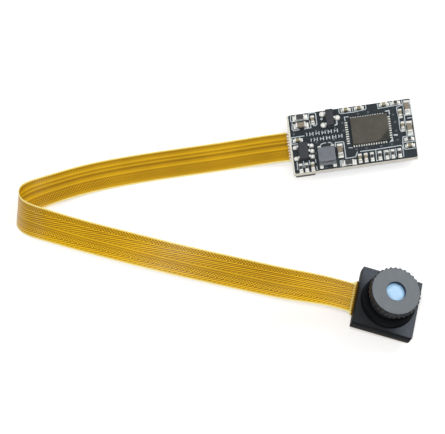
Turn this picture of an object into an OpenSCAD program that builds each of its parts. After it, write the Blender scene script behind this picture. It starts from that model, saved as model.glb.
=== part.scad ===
// Miniature camera module: a small processor board and a lens head joined by a flexible printed circuit.
// The board lies level, the flex curls back over itself, and the head leans on one corner of its base.

/* [Board] */
// Length of the board, along X
board_l = 20.2; // [20.2:0.2:30]
// Width of the board, along Y
board_w = 10.2; // [10.2:0.2:16]
// Thickness of the board
board_t = 1; // [0.6:0.1:1.6]
// Height of the tallest parts under the board, which it rests on
under_h = 1.3; // [1:0.1:2]
// Thickness of a tinned solder pad
pad_t = 0.06; // [0.04:0.01:0.1]

/* [Board parts] */
// Length of the image processor, along X
processor_l = 6; // [5:0.1:6.4]
// Width of the image processor, along Y
processor_w = 4.6; // [4:0.1:5]
// Height of the image processor
processor_h = 0.6; // [0.4:0.05:1.2]
// Pitch of the processor's contacts
contact_pitch = 0.4; // [0.3:0.05:0.4]
// Length of the inductor's base, along Y
inductor_l = 3.3; // [2.8:0.1:3.4]
// Width of the inductor, along X
inductor_w = 2.75; // [2.2:0.05:2.8]
// Height of the inductor
inductor_h = 1.2; // [0.9:0.1:2]
// Height of the regulator and the transistor
sot_h = 1.1; // [0.8:0.1:1.3]

/* [Flex circuit] */
// Width of the flex circuit
flex_w = 5; // [3:0.1:5.2]
// Thickness of the flex circuit
flex_t = 0.15; // [0.1:0.01:0.2]
// Length of the flex that is soldered under the board
flex_lap = 2.7; // [1.5:0.1:3]

/* [Lens head] */
// Side of the square base of the lens holder
head_side = 9.8; // [9.4:0.1:13]
// Height of the lens holder's square base, above the flex
base_h = 1.95; // [1.8:0.05:3]
// Radius of the bore that guides the lens barrel
bore_r = 3.5; // [2.9:0.05:3.6]
// Wall of the round boss, outside the bore
boss_wall = 0.85; // [0.6:0.05:0.95]
// Height of the boss above the square base
boss_h = 1.5; // [1:0.1:2]
// Radial clearance between the barrel and its bore
barrel_gap = 0.05; // [0.02:0.01:0.1]
// Height of the barrel's front face above the square base
front_h = 4.7; // [4.5:0.1:6]
// Thickness of the knurled head of the barrel
knurl_h = 1.6; // [1.4:0.05:2.4]
// How far the teeth of the knurled head reach past the bore
knurl_reach = 0.56; // [0.44:0.02:0.7]
// Number of teeth round the knurled head
knurl_teeth = 32; // [24:1:36]
// Radius of the aperture in the front face
aperture_r = 1.5; // [1.2:0.05:1.6]
// Thickness of the stiffener plate behind the head
stiffener_t = 0.2; // [0.1:0.05:0.4]
// Side of the image sensor
sensor_side = 5.6; // [4.5:0.1:6.4]

/* [Hidden] */
$fn = 48;
eps = 0.01;

// Where the board lies. Its left edge, which the flex is soldered to, stays where it is.
board_x0 = -10.2;
board_y0 = 15.3 - board_w / 2;
board_under = under_h;
board_top = board_under + board_t;
board_corner = 0.25;

// Where the head lies: the middle of its back, and its turns about X, Y and Z.
// The lean leaves one corner of the base on the surface that the module lies on.
head_turn = [-9.5, 17.5, -20];
head_xy = [1.35, -14.05];
head_half = head_side / 2;
head_lift = head_half * (sin(head_turn.y) - sin(head_turn.x) * cos(head_turn.y));
head_at = [head_xy.x, head_xy.y, head_lift];
head_u = [cos(head_turn.y) * cos(head_turn.z), cos(head_turn.y) * sin(head_turn.z), -sin(head_turn.y)];
head_v = [
    sin(head_turn.x) * sin(head_turn.y) * cos(head_turn.z) - cos(head_turn.x) * sin(head_turn.z),
    sin(head_turn.x) * sin(head_turn.y) * sin(head_turn.z) + cos(head_turn.x) * cos(head_turn.z),
    sin(head_turn.x) * cos(head_turn.y)
];
head_n = cross(head_u, head_v);

// Heights in the head, from its back
flex_back = stiffener_t;
holder_z = flex_back + flex_t;
base_top = holder_z + base_h;
boss_top = base_top + boss_h;
front_z = base_top + front_h;
knurl_z = front_z - knurl_h;
barrel_z = base_top + 0.25;

// The lens holder: its walls, and the shelf for the filter at the top of the sensor's chamber
holder_wall = 0.9;
holder_corner = 0.15;
boss_r = bore_r + boss_wall;
boss_chamfer = 0.3;
chamber = head_side - 2 * holder_wall;
filter_side = chamber - 1.6;
filter_t = 0.3;
filter_pocket = filter_side + 0.1;
shelf_z = base_top - 0.65;
filter_z = shelf_z - filter_t;
window_r = 2.6;
sensor_size = [sensor_side, sensor_side - 0.4];
sensor_t = 0.4;
cover_t = 0.4;

// Small capacitors on the flex, midway between the sensor and the chamber's walls: [x, y, turn]
beside_sensor = (sensor_side + chamber) / 4;
sensor_cap_places = [[beside_sensor, -1.6, 90], [beside_sensor, 1.6, 90], [-beside_sensor, 0, 90]];

// The barrel: low round teeth on a round core, and a bevelled rim round the front face
barrel_r = bore_r - barrel_gap;
knurl_r = bore_r + knurl_reach;
knurl_root_r = knurl_r - 0.16;
tooth_r = 0.3;
front_rim = 0.15;
face_t = 0.62;
aperture_flare = 0.06;

// Glass and rings in the barrel. The three seats step out from the aperture to the barrel's wall.
glass_gap = 0.04;
layer_gap = 0.03;
barrel_wall = 0.53;
seat_span = barrel_r - barrel_wall - aperture_r;
seat_r = [for (share = [0.35, 0.7, 1]) aperture_r + share * seat_span];
seat_front = [front_z - face_t, front_z - 1.4, front_z - 2.6];
front_lens_r = 8;
front_lens_z = seat_front[0] + aperture_r^2 / (2 * front_lens_r) - layer_gap;
stop_t = 0.12;
stop_z = seat_front[1] + layer_gap;
spacer_z = seat_front[2] - 0.4;
rear_lens_z = spacer_z - 0.75;
retainer_t = 0.35;

// The chip parts: [length, width, height] of the two sizes of capacitor and of resistor
small_cap = [1, 0.5, 0.5];
large_cap = [1.6, 0.8, 0.7];
small_res = [1, 0.5, 0.35];
large_res = [1.6, 0.8, 0.45];
end_band = 0.22;
coat_t = 0.05;

// Places on the board, from its front left corner: [x, y, turn]. What lies near the right or the
// far edge is counted from that edge, so that it follows the board's size.
right = board_l;
far = board_w;
small_cap_places = [
    [4.18, far - 1.4, 90], [1.4, 5.65, 0], [3.3, 0.85, 90],
    [11, 1.1, 90], [11.95, 1.1, 90],
    [9.7, far - 0.5, 0], [11.85, far - 0.5, 0], [right - 4.3, far - 0.5, 0],
    [right - 1.87, far - 2.4, 90], [right - 1.72, far - 4.6, 90], [right - 1, 2.08, 0]
];
large_cap_places = [
    [2.22, far - 2.12, 0], [8, 2.9, 90], [right - 0.65, far - 1.5, 90], [right - 0.68, far - 5.1, 90]
];
small_res_places = [
    [1.37, 0.85, 90], [2.3, 0.85, 90], [12.95, 1.1, 90], [14.2, 1.1, 90], [15.35, 1.1, 90],
    [16.3, 1.1, 90], [17.4, 1.1, 90], [right - 2.4, far - 0.5, 0], [right - 0.97, 3.2, 0]
];
large_res_places = [[2.2, far - 0.72, 0], [9.12, 0.6, 0]];
processor_at = [13.2, far - 4.47];
dimple_at = [0.85, 0.65];
dimple_r = 0.3;
dimple_t = 0.03;
inductor_at = [5.78, 2.25];
regulator_at = [2.14, 3.48];
transistor_at = [7, far - 1.65];

// The processor's contacts: two long and two short rows on a ring that stands a little to its left
contacts_long = 14;
contacts_short = 10;
contact_ring = [processor_l + 0.9, processor_w + 0.15];
contacts_at = [processor_at.x - 0.28, processor_at.y];

// Sizes of the leaded packages: [length, width] of each body, and the leads
sot_body = [1.6, 2.9];
sot3_body = [1.3, 2.9];
sot_lift = 0.06;
sot_draft = 0.1;
sot_reach = 0.65;
lead_t = 0.12;
lead_w = 0.4;
lead_pitch = 0.95;

// The inductor: a long base flange and a shorter top flange on a round post, and a metal terminal
// along each side of the base that wraps both ends of it
base_flange_t = 0.4;
top_flange_t = 0.35;
top_flange_l = inductor_l - 0.95;
post_r = 0.8;
terminal_t = 0.08;
terminal_w = 0.6;

// Places under the board, from its front left corner
crystal_at = [1.9, 1.35];
crystal_size = [3.2, 2.5];
crystal_lid_t = 0.3;
flash_at = [12.5, board_w / 2];
flash_body = [4.9, 3.9];
flash_pitch = 1.27;
flash_lift = 0.1;
flash_reach = 1;
cable_pad_x = 1;
cable_pad_y = 1.25;
cable_pads_n = 4;
cable_pad_r = 0.6;
cable_pad_t = 0.05;

// The flex's middle line: guide points of a smooth curve and the direction across the flex at each.
// The first pair is set by the board and the last pair by the head, and the others are chosen places.
flex_y = 15.45;
solder_pitch = 0.5;
board_end = board_under - flex_t / 2;
flex_middle = flex_back + flex_t / 2;
head_end = -head_half - 0.85;
guides = [
    [[board_x0 + flex_lap, flex_y, board_end], [0, 1, 0]],
    [[board_x0 - 0.4, flex_y, board_end], [0, 1, 0]],
    [[-13.5, 15.6, 1], [0, 1, 0]],
    [[-17.5, 15.8, 0.3], [0, 1, 0]],
    [[-22, 15.8, 0.1], [0, 1, 0]],
    [[-27, 15.8, 0.1], [0, 1, 0]],
    [[-33, 15.8, 0.1], [0, 1, 0]],
    [[-39, 15.6, 0.2], [-0.05, 1, 0.03]],
    [[-44.5, 15.1, 0.5], [-0.1, 0.98, 0.05]],
    [[-49.5, 14, 1.2], [-0.15, 0.95, 0]],
    [[-54, 12.6, 2.4], [0, 0.85, 0.4]],
    [[-55, 10, 5.7], [0.25, 0.75, 0.6]],
    [[-53.8, 7.2, 8.8], [0.3, 0.8, 0.5]],
    [[-51.5, 5.2, 11], [0.35, 0.88, 0.3]],
    [[-47.7, 3.1, 12.1], [0.4, 0.9, 0.05]],
    [[-43, 0.8, 12.5], [0.4, 0.9, 0.1]],
    [[-37.3, -1.6, 12.5], [0.38, 0.92, 0.15]],
    [[-31.4, -3.9, 11.8], [0.36, 0.9, 0.25]],
    [[-25.3, -5.9, 10.4], [0.34, 0.9, 0.27]],
    [[-19.3, -7.6, 8.5], [0.34, 0.92, 0.25]],
    [[-13.7, -9.3, 6.7], [0.33, 0.93, 0.18]],
    [head_place([head_end - 4.1, 0, flex_middle]), head_v],
    [head_place([head_end, 0, flex_middle]), head_v]
];
flex_steps = 3;
plate_half = head_half - 0.1;
plate_corner = 0.4;
tab_half = flex_w / 2 + 0.5;
tab_reach = 0.4;

function head_place(p) = head_at + p.x * head_u + p.y * head_v + p.z * head_n;
function unit(v) = v / norm(v);

// Uniform cubic spline through four neighbouring guides, and its slope
function blend(g, t) =
    ((1 - t)^3 * g[0] + (3 * t^3 - 6 * t^2 + 4) * g[1] + (1 + 3 * t + 3 * t^2 - 3 * t^3) * g[2] + t^3 * g[3]) / 6;
function slope(g, t) =
    (-(1 - t)^2 * g[0] + (3 * t^2 - 4 * t) * g[1] + (1 + 2 * t - 3 * t^2) * g[2] + t^2 * g[3]) / 2;

// One guide beyond each end, so that the curve starts and stops on its own end points
function padded(list) = concat(
    [2 * list[0] - list[1]], list, [2 * list[len(list) - 1] - list[len(list) - 2]]
);

// One section of the flex: four corners about a centre, from its heading and the direction across it
function section(centre, heading, across, half_w) =
    let (t = unit(heading), w = unit(across - (across * t) * t), n = cross(t, w) * flex_t / 2)
    [centre - half_w * w - n, centre + half_w * w - n, centre + half_w * w + n, centre - half_w * w + n];

function flex_sections() =
    let (
        line = padded([for (g = guides) g[0]]),
        side = padded([for (g = guides) g[1]]),
        last = len(line) - 4
    )
    [for (i = [0:last], k = [0:(i == last ? flex_steps : flex_steps - 1)])
        let (
            t = k / flex_steps,
            p = [for (j = [0:3]) line[i + j]],
            s = [for (j = [0:3]) side[i + j]]
        )
        section(blend(p, t), slope(p, t), blend(s, t), flex_w / 2)];

// The wide plate at the end of the flex, which the lens holder stands on, and the tab before it that
// shows outside the holder's wall
function plate_sections() = [
    for (s = [
        [-head_half - tab_reach, tab_half], [-plate_half - 0.05, tab_half],
        [0.05 - plate_half, plate_half - plate_corner], [plate_corner - plate_half, plate_half],
        [plate_half - plate_corner, plate_half], [plate_half, plate_half - plate_corner]
    ])
    section(head_place([s[0], 0, flex_middle]), head_u, head_v, s[1])
];

module swept(sections) {
    n = len(sections);
    points = [for (s = sections) each s];
    walls = [for (i = [0:n - 2], j = [0:3]) each let (a = 4 * i + j, b = 4 * i + (j + 1) % 4) [
        [a, b, b + 4], [a, b + 4, a + 4]
    ]];
    last = 4 * (n - 1);
    ends = [[0, 2, 1], [0, 3, 2], [last, last + 1, last + 2], [last, last + 2, last + 3]];
    polyhedron(points, concat(walls, ends), convexity = 8);
}

module on_board(place) {
    translate([board_x0 + place.x, board_y0 + place.y, board_top])
        rotate([0, 0, len(place) > 2 ? place[2] : 0]) children();
}

module under_board(place) {
    translate([board_x0 + place.x, board_y0 + place.y, board_under]) rotate([180, 0, 0]) children();
}

module in_head() {
    translate(head_at) rotate(head_turn) children();
}

module block(size) {
    translate([-size.x / 2, -size.y / 2, 0]) cube(size);
}

// A plate with round corners
module rounded_plate(l, w, h, r) {
    linear_extrude(height = h) rounded_outline(l, w, r);
}

module rounded_outline(l, w, r) {
    square([l - 2 * r, w], center = true);
    square([l, w - 2 * r], center = true);
    for (x = [-1, 1], y = [-1, 1]) translate([x * (l / 2 - r), y * (w / 2 - r)]) circle(r);
}

// A moulded package: its four walls lean in from the parting line at mid height
module moulded(l, w, h, draft) {
    module walls(width, length) {
        half = width / 2;
        rotate([90, 0, 0]) linear_extrude(height = length, center = true) polygon([
            [draft - half, 0], [half - draft, 0], [half, h / 2],
            [half - draft, h], [draft - half, h], [-half, h / 2]
        ]);
    }
    intersection() {
        walls(l, w + 1);
        rotate([0, 0, 90]) walls(w, l + 1);
    }
}

// A gull-wing lead: out of the package at the height of its parting line, down and along the pad
module gull_lead(reach, rise) {
    knee = 0.3 * reach;
    heel = 0.45 * reach;
    rotate([90, 0, 0]) linear_extrude(height = lead_w, center = true) polygon([
        [0, rise + lead_t / 2], [knee, rise + lead_t / 2], [heel, lead_t], [reach, lead_t],
        [reach, 0], [heel - lead_t, 0], [knee - lead_t, rise - lead_t / 2], [0, rise - lead_t / 2]
    ]);
}

// A chip part's middle, between its two metal ends
module chip_middle(size) {
    block([size.x - 2 * end_band, size.y, size.z]);
}

module chip_ends(size) {
    for (side = [-1, 1]) translate([side * (size.x - end_band) / 2, 0, 0])
        block([end_band, size.y + 0.04, size.z + 0.03]);
}

module each_place(places) {
    for (p = places) on_board(p) translate([0, 0, pad_t]) children();
}

// The pair of pads under a chip part
module chip_pads(size) {
    pad = size.x > 1.2 ? 0.75 : 0.5;
    for (side = [-1, 1]) translate([side * (size.x / 2 + 0.05), 0, 0])
        block([pad, size.y + 0.1, pad_t]);
}

// The pads under a row of leads
module lead_pads(offsets, x) {
    for (y = offsets) translate([x, y, 0]) block([0.7, 0.6, pad_t]);
}

module circuit_board() {
    color("darkslategray") translate([board_x0 + board_l / 2, board_y0 + board_w / 2, board_under])
        rounded_plate(board_l, board_w, board_t, board_corner);
}

module solder_pads() {
    color("gainsboro") {
        for (p = small_cap_places) on_board(p) chip_pads(small_cap);
        for (p = large_cap_places) on_board(p) chip_pads(large_cap);
        for (p = small_res_places) on_board(p) chip_pads(small_res);
        for (p = large_res_places) on_board(p) chip_pads(large_res);
        on_board(regulator_at) {
            lead_pads([-lead_pitch, 0, lead_pitch], sot_body.x / 2 + 0.5);
            lead_pads([-lead_pitch, lead_pitch], -sot_body.x / 2 - 0.5);
        }
        on_board(transistor_at) {
            lead_pads([0], sot3_body.x / 2 + 0.5);
            lead_pads([-lead_pitch, lead_pitch], -sot3_body.x / 2 - 0.5);
        }
    }
}

module image_processor() {
    color("dimgray") on_board(processor_at) difference() {
        translate([0, 0, pad_t]) block([processor_l, processor_w, processor_h - pad_t]);
        translate([processor_l / 2 - dimple_at.x, dimple_at.y - processor_w / 2, processor_h - dimple_t])
            cylinder(r = dimple_r, h = 1);
    }
}

// The contacts that show round the processor's foot
module processor_contacts() {
    module row(count) {
        for (i = [0:count - 1]) translate([(i - (count - 1) / 2) * contact_pitch, 0, 0])
            block([0.22, 0.46, pad_t]);
    }
    color("whitesmoke") on_board(contacts_at) {
        for (side = [-1, 1]) {
            translate([0, side * contact_ring.y / 2, 0]) row(contacts_long);
            translate([side * contact_ring.x / 2, 0, 0]) rotate([0, 0, 90]) row(contacts_short);
        }
    }
}

// A drum core: two flanges on a round post, with the winding between them
module inductor_core() {
    color("slategray") on_board(inductor_at) {
        translate([0, 0, terminal_t])
            rounded_plate(inductor_w, inductor_l - 2 * terminal_t, base_flange_t, 0.15);
        translate([0, 0, terminal_t]) cylinder(r = post_r, h = inductor_h - terminal_t - eps);
        translate([0, 0, inductor_h - top_flange_t])
            rounded_plate(inductor_w, top_flange_l, top_flange_t, 0.35);
    }
}

module inductor_winding() {
    low = terminal_t + base_flange_t;
    color("sienna") on_board(inductor_at) translate([0, 0, low]) difference() {
        cylinder(r = top_flange_l / 2 - 0.1, h = inductor_h - top_flange_t - low);
        translate([0, 0, -1]) cylinder(r = post_r, h = inductor_h + 2);
    }
}

// One terminal along each side, seen from its end: under the base and up both ends of it
module inductor_terminals() {
    inner = inductor_l / 2 - terminal_t;
    up = terminal_t + 0.75 * base_flange_t;
    color("gainsboro") on_board(inductor_at) for (side = [-1, 1])
        translate([side * (inductor_w - terminal_w) / 2, 0, 0]) rotate([90, 0, 90])
            linear_extrude(height = terminal_w, center = true) polygon([
                [-inductor_l / 2, 0], [inductor_l / 2, 0], [inductor_l / 2, up], [inner, up],
                [inner, terminal_t], [-inner, terminal_t], [-inner, up], [-inductor_l / 2, up]
            ]);
}

// A small leaded package: its body stands a little above its pads
module sot_package(body) {
    translate([0, 0, pad_t + sot_lift]) moulded(body.x, body.y, sot_h - sot_lift, sot_draft);
}

// One row of leads at each offset along the package's right side and its left side
module sot_leads(body, right_side, left_side) {
    rise = (sot_h + sot_lift) / 2;
    translate([0, 0, pad_t]) {
        for (y = right_side) translate([body.x / 2, y, 0]) gull_lead(sot_reach, rise);
        for (y = left_side) translate([-body.x / 2, y, 0]) mirror([1, 0, 0]) gull_lead(sot_reach, rise);
    }
}

module regulator_body() {
    color("darkslategray") on_board(regulator_at) sot_package(sot_body);
}

module regulator_leads() {
    color("silver") on_board(regulator_at)
        sot_leads(sot_body, [-lead_pitch, 0, lead_pitch], [-lead_pitch, lead_pitch]);
}

module transistor_body() {
    color("darkslategray") on_board(transistor_at) sot_package(sot3_body);
}

module transistor_leads() {
    color("silver") on_board(transistor_at) sot_leads(sot3_body, [0], [-lead_pitch, lead_pitch]);
}

module small_capacitors() {
    color("tan") each_place(small_cap_places) chip_middle(small_cap);
}

module large_capacitors() {
    color("rosybrown") each_place(large_cap_places) chip_middle(large_cap);
}

module capacitor_ends() {
    color("silver") {
        each_place(small_cap_places) chip_ends(small_cap);
        each_place(large_cap_places) chip_ends(large_cap);
    }
}

// A resistor is a white ceramic chip with a dark glass coat on top between its metal ends
module resistors() {
    color("white") {
        each_place(small_res_places) chip_middle([small_res.x, small_res.y, small_res.z - coat_t]);
        each_place(large_res_places) chip_middle([large_res.x, large_res.y, large_res.z - coat_t]);
    }
}

module resistor_coats() {
    module coat(size) {
        translate([0, 0, size.z - coat_t]) block([size.x - 2 * end_band, size.y - 0.06, coat_t]);
    }
    color("black") {
        each_place(small_res_places) coat(small_res);
        each_place(large_res_places) coat(large_res);
    }
}

module resistor_ends() {
    color("gainsboro") {
        each_place(small_res_places) chip_ends(small_res);
        each_place(large_res_places) chip_ends(large_res);
    }
}

// The crystal that clocks the processor: a ceramic tray with a metal lid
module crystal_base() {
    color("dimgray") under_board(crystal_at)
        rounded_plate(crystal_size.x, crystal_size.y, under_h - crystal_lid_t, 0.2);
}

module crystal_lid() {
    color("gold") under_board(crystal_at) translate([0, 0, under_h - crystal_lid_t])
        rounded_plate(crystal_size.x - 0.4, crystal_size.y - 0.4, crystal_lid_t, 0.3);
}

// The memory that holds the processor's program
module flash_memory() {
    color("black") under_board(flash_at) translate([0, 0, flash_lift])
        moulded(flash_body.x, flash_body.y, under_h - flash_lift, 0.1);
}

module flash_leads() {
    rise = (under_h + flash_lift) / 2;
    color("silver") under_board(flash_at) for (side = [0, 1], i = [0:3])
        rotate([0, 0, 180 * side]) translate([(i - 1.5) * flash_pitch, flash_body.y / 2, 0])
            rotate([0, 0, 90]) gull_lead(flash_reach, rise);
}

// Bare round pads for the wires of the host cable
module cable_pads() {
    pitch = (board_w - 2 * cable_pad_y) / (cable_pads_n - 1);
    color("gold") for (i = [0:cable_pads_n - 1]) under_board([right - cable_pad_x, cable_pad_y + i * pitch])
        cylinder(r = cable_pad_r, h = cable_pad_t);
}

// Solder fillets where the flex's contacts come out from under the board's edge
module flex_solder() {
    count = floor((flex_w - 0.5) / solder_pitch) + 1;
    color("gainsboro") for (i = [0:count - 1])
        translate([board_x0, flex_y + (i - (count - 1) / 2) * solder_pitch, board_under])
            rotate([90, 0, 0]) linear_extrude(height = 0.25, center = true)
                polygon([[0, 0], [0, 0.22], [-0.08, 0.16], [-0.24, 0]]);
}

module flex_circuit() {
    color("goldenrod") swept(concat(flex_sections(), plate_sections()));
}

module head_stiffener() {
    color("tan") in_head() rounded_plate(head_side - 0.1, head_side - 0.1, stiffener_t, holder_corner);
}

module image_sensor() {
    color("midnightblue") in_head() translate([0, 0, holder_z])
        block([sensor_size.x, sensor_size.y, sensor_t]);
}

module sensor_glass() {
    color("lightcyan") in_head() translate([0, 0, holder_z + sensor_t])
        block([sensor_size.x, sensor_size.y, cover_t]);
}

module sensor_capacitors() {
    color("tan") in_head() for (p = sensor_cap_places)
        translate([p.x, p.y, holder_z]) rotate(p.z) chip_middle(small_cap);
}

module sensor_capacitor_ends() {
    color("silver") in_head() for (p = sensor_cap_places)
        translate([p.x, p.y, holder_z]) rotate(p.z) chip_ends(small_cap);
}

module ir_filter() {
    color("paleturquoise") in_head() translate([0, 0, filter_z])
        block([filter_side, filter_side, filter_t]);
}

// The moulded holder: a square base with a chamber for the sensor, a shelf for the filter, and a
// round boss with the bore that the barrel screws into
module lens_holder() {
    color("darkslategray") in_head() difference() {
        union() {
            translate([0, 0, holder_z]) rounded_plate(head_side, head_side, base_h, holder_corner);
            translate([0, 0, base_top]) cylinder(r = boss_r, h = boss_h - boss_chamfer);
            translate([0, 0, boss_top - boss_chamfer])
                cylinder(r1 = boss_r, r2 = boss_r - boss_chamfer, h = boss_chamfer);
        }
        translate([0, 0, holder_z - 1]) block([chamber, chamber, filter_z - holder_z + 1]);
        translate([0, 0, filter_z - eps]) block([filter_pocket, filter_pocket, filter_t + eps]);
        translate([0, 0, shelf_z - eps]) cylinder(r = window_r, h = 2);
        translate([0, 0, base_top]) cylinder(r = bore_r, h = boss_h + 1);
    }
}

// Round teeth standing on a round core
module knurl_outline() {
    circle(knurl_root_r);
    for (i = [0:knurl_teeth - 1]) rotate(i * 360 / knurl_teeth)
        translate([knurl_r - tooth_r, 0]) circle(tooth_r);
}

// The turned barrel: a plain threaded length, a knurled head and a stepped bore open at the back
module lens_barrel() {
    color("dimgray") in_head() difference() {
        union() {
            translate([0, 0, barrel_z]) cylinder(r = barrel_r, h = knurl_z - barrel_z);
            translate([0, 0, knurl_z]) linear_extrude(height = knurl_h - front_rim) knurl_outline();
            translate([0, 0, front_z - front_rim])
                cylinder(r1 = knurl_root_r - 0.02, r2 = knurl_root_r - 0.1, h = front_rim);
        }
        translate([0, 0, seat_front[0] - eps])
            cylinder(r1 = aperture_r, r2 = aperture_r + aperture_flare, h = face_t + 2 * eps);
        translate([0, 0, seat_front[1]]) cylinder(r = seat_r[0], h = seat_front[0] - seat_front[1]);
        translate([0, 0, seat_front[2]]) cylinder(r = seat_r[1], h = seat_front[1] - seat_front[2] + eps);
        translate([0, 0, barrel_z - 1]) cylinder(r = seat_r[2], h = seat_front[2] - barrel_z + 1 + eps);
    }
}

// A lens: a disc cut to a convex front and, where back_r is given, hollowed at the back
module lens(r, back, front, front_r, back_r) {
    difference() {
        intersection() {
            translate([0, 0, back]) cylinder(r = r, h = front - back);
            translate([0, 0, front - front_r]) sphere(r = front_r, $fn = 96);
        }
        if (back_r > 0) translate([0, 0, back - back_r + 0.18]) sphere(r = back_r, $fn = 96);
    }
}

module ring(outer, inner, back, front) {
    translate([0, 0, back]) difference() {
        cylinder(r = outer, h = front - back);
        translate([0, 0, -1]) cylinder(r = inner, h = front - back + 2);
    }
}

module front_lens() {
    color("lightblue") in_head()
        lens(seat_r[0] - glass_gap, stop_z + stop_t, front_lens_z, front_lens_r, 3);
}

module aperture_stop() {
    color("black") in_head() ring(seat_r[0] - glass_gap, aperture_r / 2, stop_z, stop_z + stop_t);
}

module middle_lens() {
    color("lightblue") in_head()
        lens(seat_r[1] - glass_gap, seat_front[2] + layer_gap, seat_front[1] - layer_gap, 9, 0);
}

module spacer_ring() {
    color("black") in_head()
        ring(seat_r[2] - glass_gap, seat_r[2] - 0.7, spacer_z, seat_front[2] - layer_gap);
}

module rear_lens() {
    color("lightblue") in_head() lens(seat_r[2] - glass_gap, rear_lens_z, spacer_z, 7, 5);
}

module lens_retainer() {
    color("black") in_head()
        ring(seat_r[2] - glass_gap, seat_r[2] - 0.6, rear_lens_z - retainer_t, rear_lens_z);
}

circuit_board();
solder_pads();
image_processor();
processor_contacts();
inductor_core();
inductor_winding();
inductor_terminals();
regulator_body();
regulator_leads();
transistor_body();
transistor_leads();
small_capacitors();
large_capacitors();
capacitor_ends();
resistors();
resistor_coats();
resistor_ends();
crystal_base();
crystal_lid();
flash_memory();
flash_leads();
cable_pads();
flex_solder();
flex_circuit();
head_stiffener();
image_sensor();
sensor_glass();
sensor_capacitors();
sensor_capacitor_ends();
ir_filter();
lens_holder();
lens_barrel();
front_lens();
aperture_stop();
middle_lens();
spacer_ring();
rear_lens();
lens_retainer();
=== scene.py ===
import math
import random

import bmesh
import bpy
from bpy.props import FloatProperty, FloatVectorProperty, IntProperty, PointerProperty
from mathutils import Euler, Matrix, Vector


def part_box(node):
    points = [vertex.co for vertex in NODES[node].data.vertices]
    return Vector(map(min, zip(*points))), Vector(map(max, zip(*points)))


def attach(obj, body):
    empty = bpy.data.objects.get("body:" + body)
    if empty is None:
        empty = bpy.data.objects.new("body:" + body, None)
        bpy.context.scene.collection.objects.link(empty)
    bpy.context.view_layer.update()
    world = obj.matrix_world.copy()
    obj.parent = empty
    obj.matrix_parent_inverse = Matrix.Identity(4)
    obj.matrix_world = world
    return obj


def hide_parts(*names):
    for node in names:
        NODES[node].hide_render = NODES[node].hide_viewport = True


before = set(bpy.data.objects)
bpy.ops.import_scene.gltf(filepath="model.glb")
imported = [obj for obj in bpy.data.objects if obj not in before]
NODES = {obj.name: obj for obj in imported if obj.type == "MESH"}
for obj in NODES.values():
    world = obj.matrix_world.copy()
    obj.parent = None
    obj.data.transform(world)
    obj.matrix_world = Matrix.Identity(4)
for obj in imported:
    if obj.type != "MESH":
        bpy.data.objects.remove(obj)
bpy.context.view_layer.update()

bl_info = {
    "name": "Miniature camera module",
    "version": (1, 0, 0),
    "blender": (4, 5, 0),
    "location": "View3D > Sidebar > Camera Module",
    "description": "Builds the finished surfaces of a small camera module round its frame",
    "category": "Object",
}

# ---------------------------------------------------------------- sizes and places, in millimetres

MM = 0.001
TURN = 2 * math.pi


def linear(text):
    """A colour written as sRGB hex, as linear RGBA."""
    parts = [int(text[i : i + 2], 16) / 255 for i in (0, 2, 4)]
    return (*[c / 12.92 if c <= 0.04045 else ((c + 0.055) / 1.055) ** 2.4 for c in parts], 1)


def shade(colour, by):
    """A linear colour made darker or lighter."""
    return (*[c * by for c in colour[:3]], 1)


def box_mm(name):
    """The lowest and highest corner of a CAD node in millimetres."""
    low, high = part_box(name)
    return Vector(low) / MM, Vector(high) / MM


BOARD_LOW, BOARD_HIGH = box_mm("circuit_board")
BOARD_TOP = BOARD_HIGH.z
BOARD_UNDER = BOARD_LOW.z
BOARD_LONG = BOARD_HIGH.x - BOARD_LOW.x
BOARD_WIDE = BOARD_HIGH.y - BOARD_LOW.y
BOARD_CORNER = 0.25
PAD_T = 0.06
END_BAND = 0.22

# The lens head: its turns about X, Y and Z in degrees, and the middle of its back
HEAD_TURN = (-9.5, 17.5, -20)
HEAD_SIDE = 9.8
HEAD_XY = (1.35, -14.05)
HEAD_LEAN = [math.radians(a) for a in HEAD_TURN]
HEAD_LIFT = HEAD_SIDE / 2 * (math.sin(HEAD_LEAN[1]) - math.sin(HEAD_LEAN[0]) * math.cos(HEAD_LEAN[1]))
HEAD = Matrix.Translation((*HEAD_XY, HEAD_LIFT)) @ Euler(HEAD_LEAN, "XYZ").to_matrix().to_4x4()

# Heights and radii in the head, from the middle of its back
HOLDER_Z = 0.35
BASE_TOP = 2.3
BOSS_TOP = 3.8
BOSS_R = 4.35
BOSS_CHAMFER = 0.3
BORE_R = 3.5
BARREL_Z = 2.55
BARREL_R = 3.45
KNURL_Z = 5.4
FRONT_Z = 7.0
KNURL_R = 4.06
KNURL_ROOT_R = 3.9
TOOTH_R = 0.3
FRONT_RIM = 0.15
APERTURE_R = 1.5
SEAT_R = (1.997, 2.494, 2.92)
SEAT_FRONT = (6.38, 5.6, 4.4)
THREAD_PITCH = 0.35

FLEX_MIDDLE = 0.275
HEAD_HALF = HEAD_SIDE / 2
PLATE_HALF = HEAD_HALF - 0.1
PLATE_CORNER = 0.4
TAB_REACH = 0.2


def in_head(x, y, z):
    """A point of the head, from the middle of its back, in the row frame in millimetres."""
    return HEAD @ Vector((x, y, z))


def head_across():
    """The direction across the flex where it meets the head."""
    return HEAD.to_3x3() @ Vector((0, 1, 0))


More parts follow.
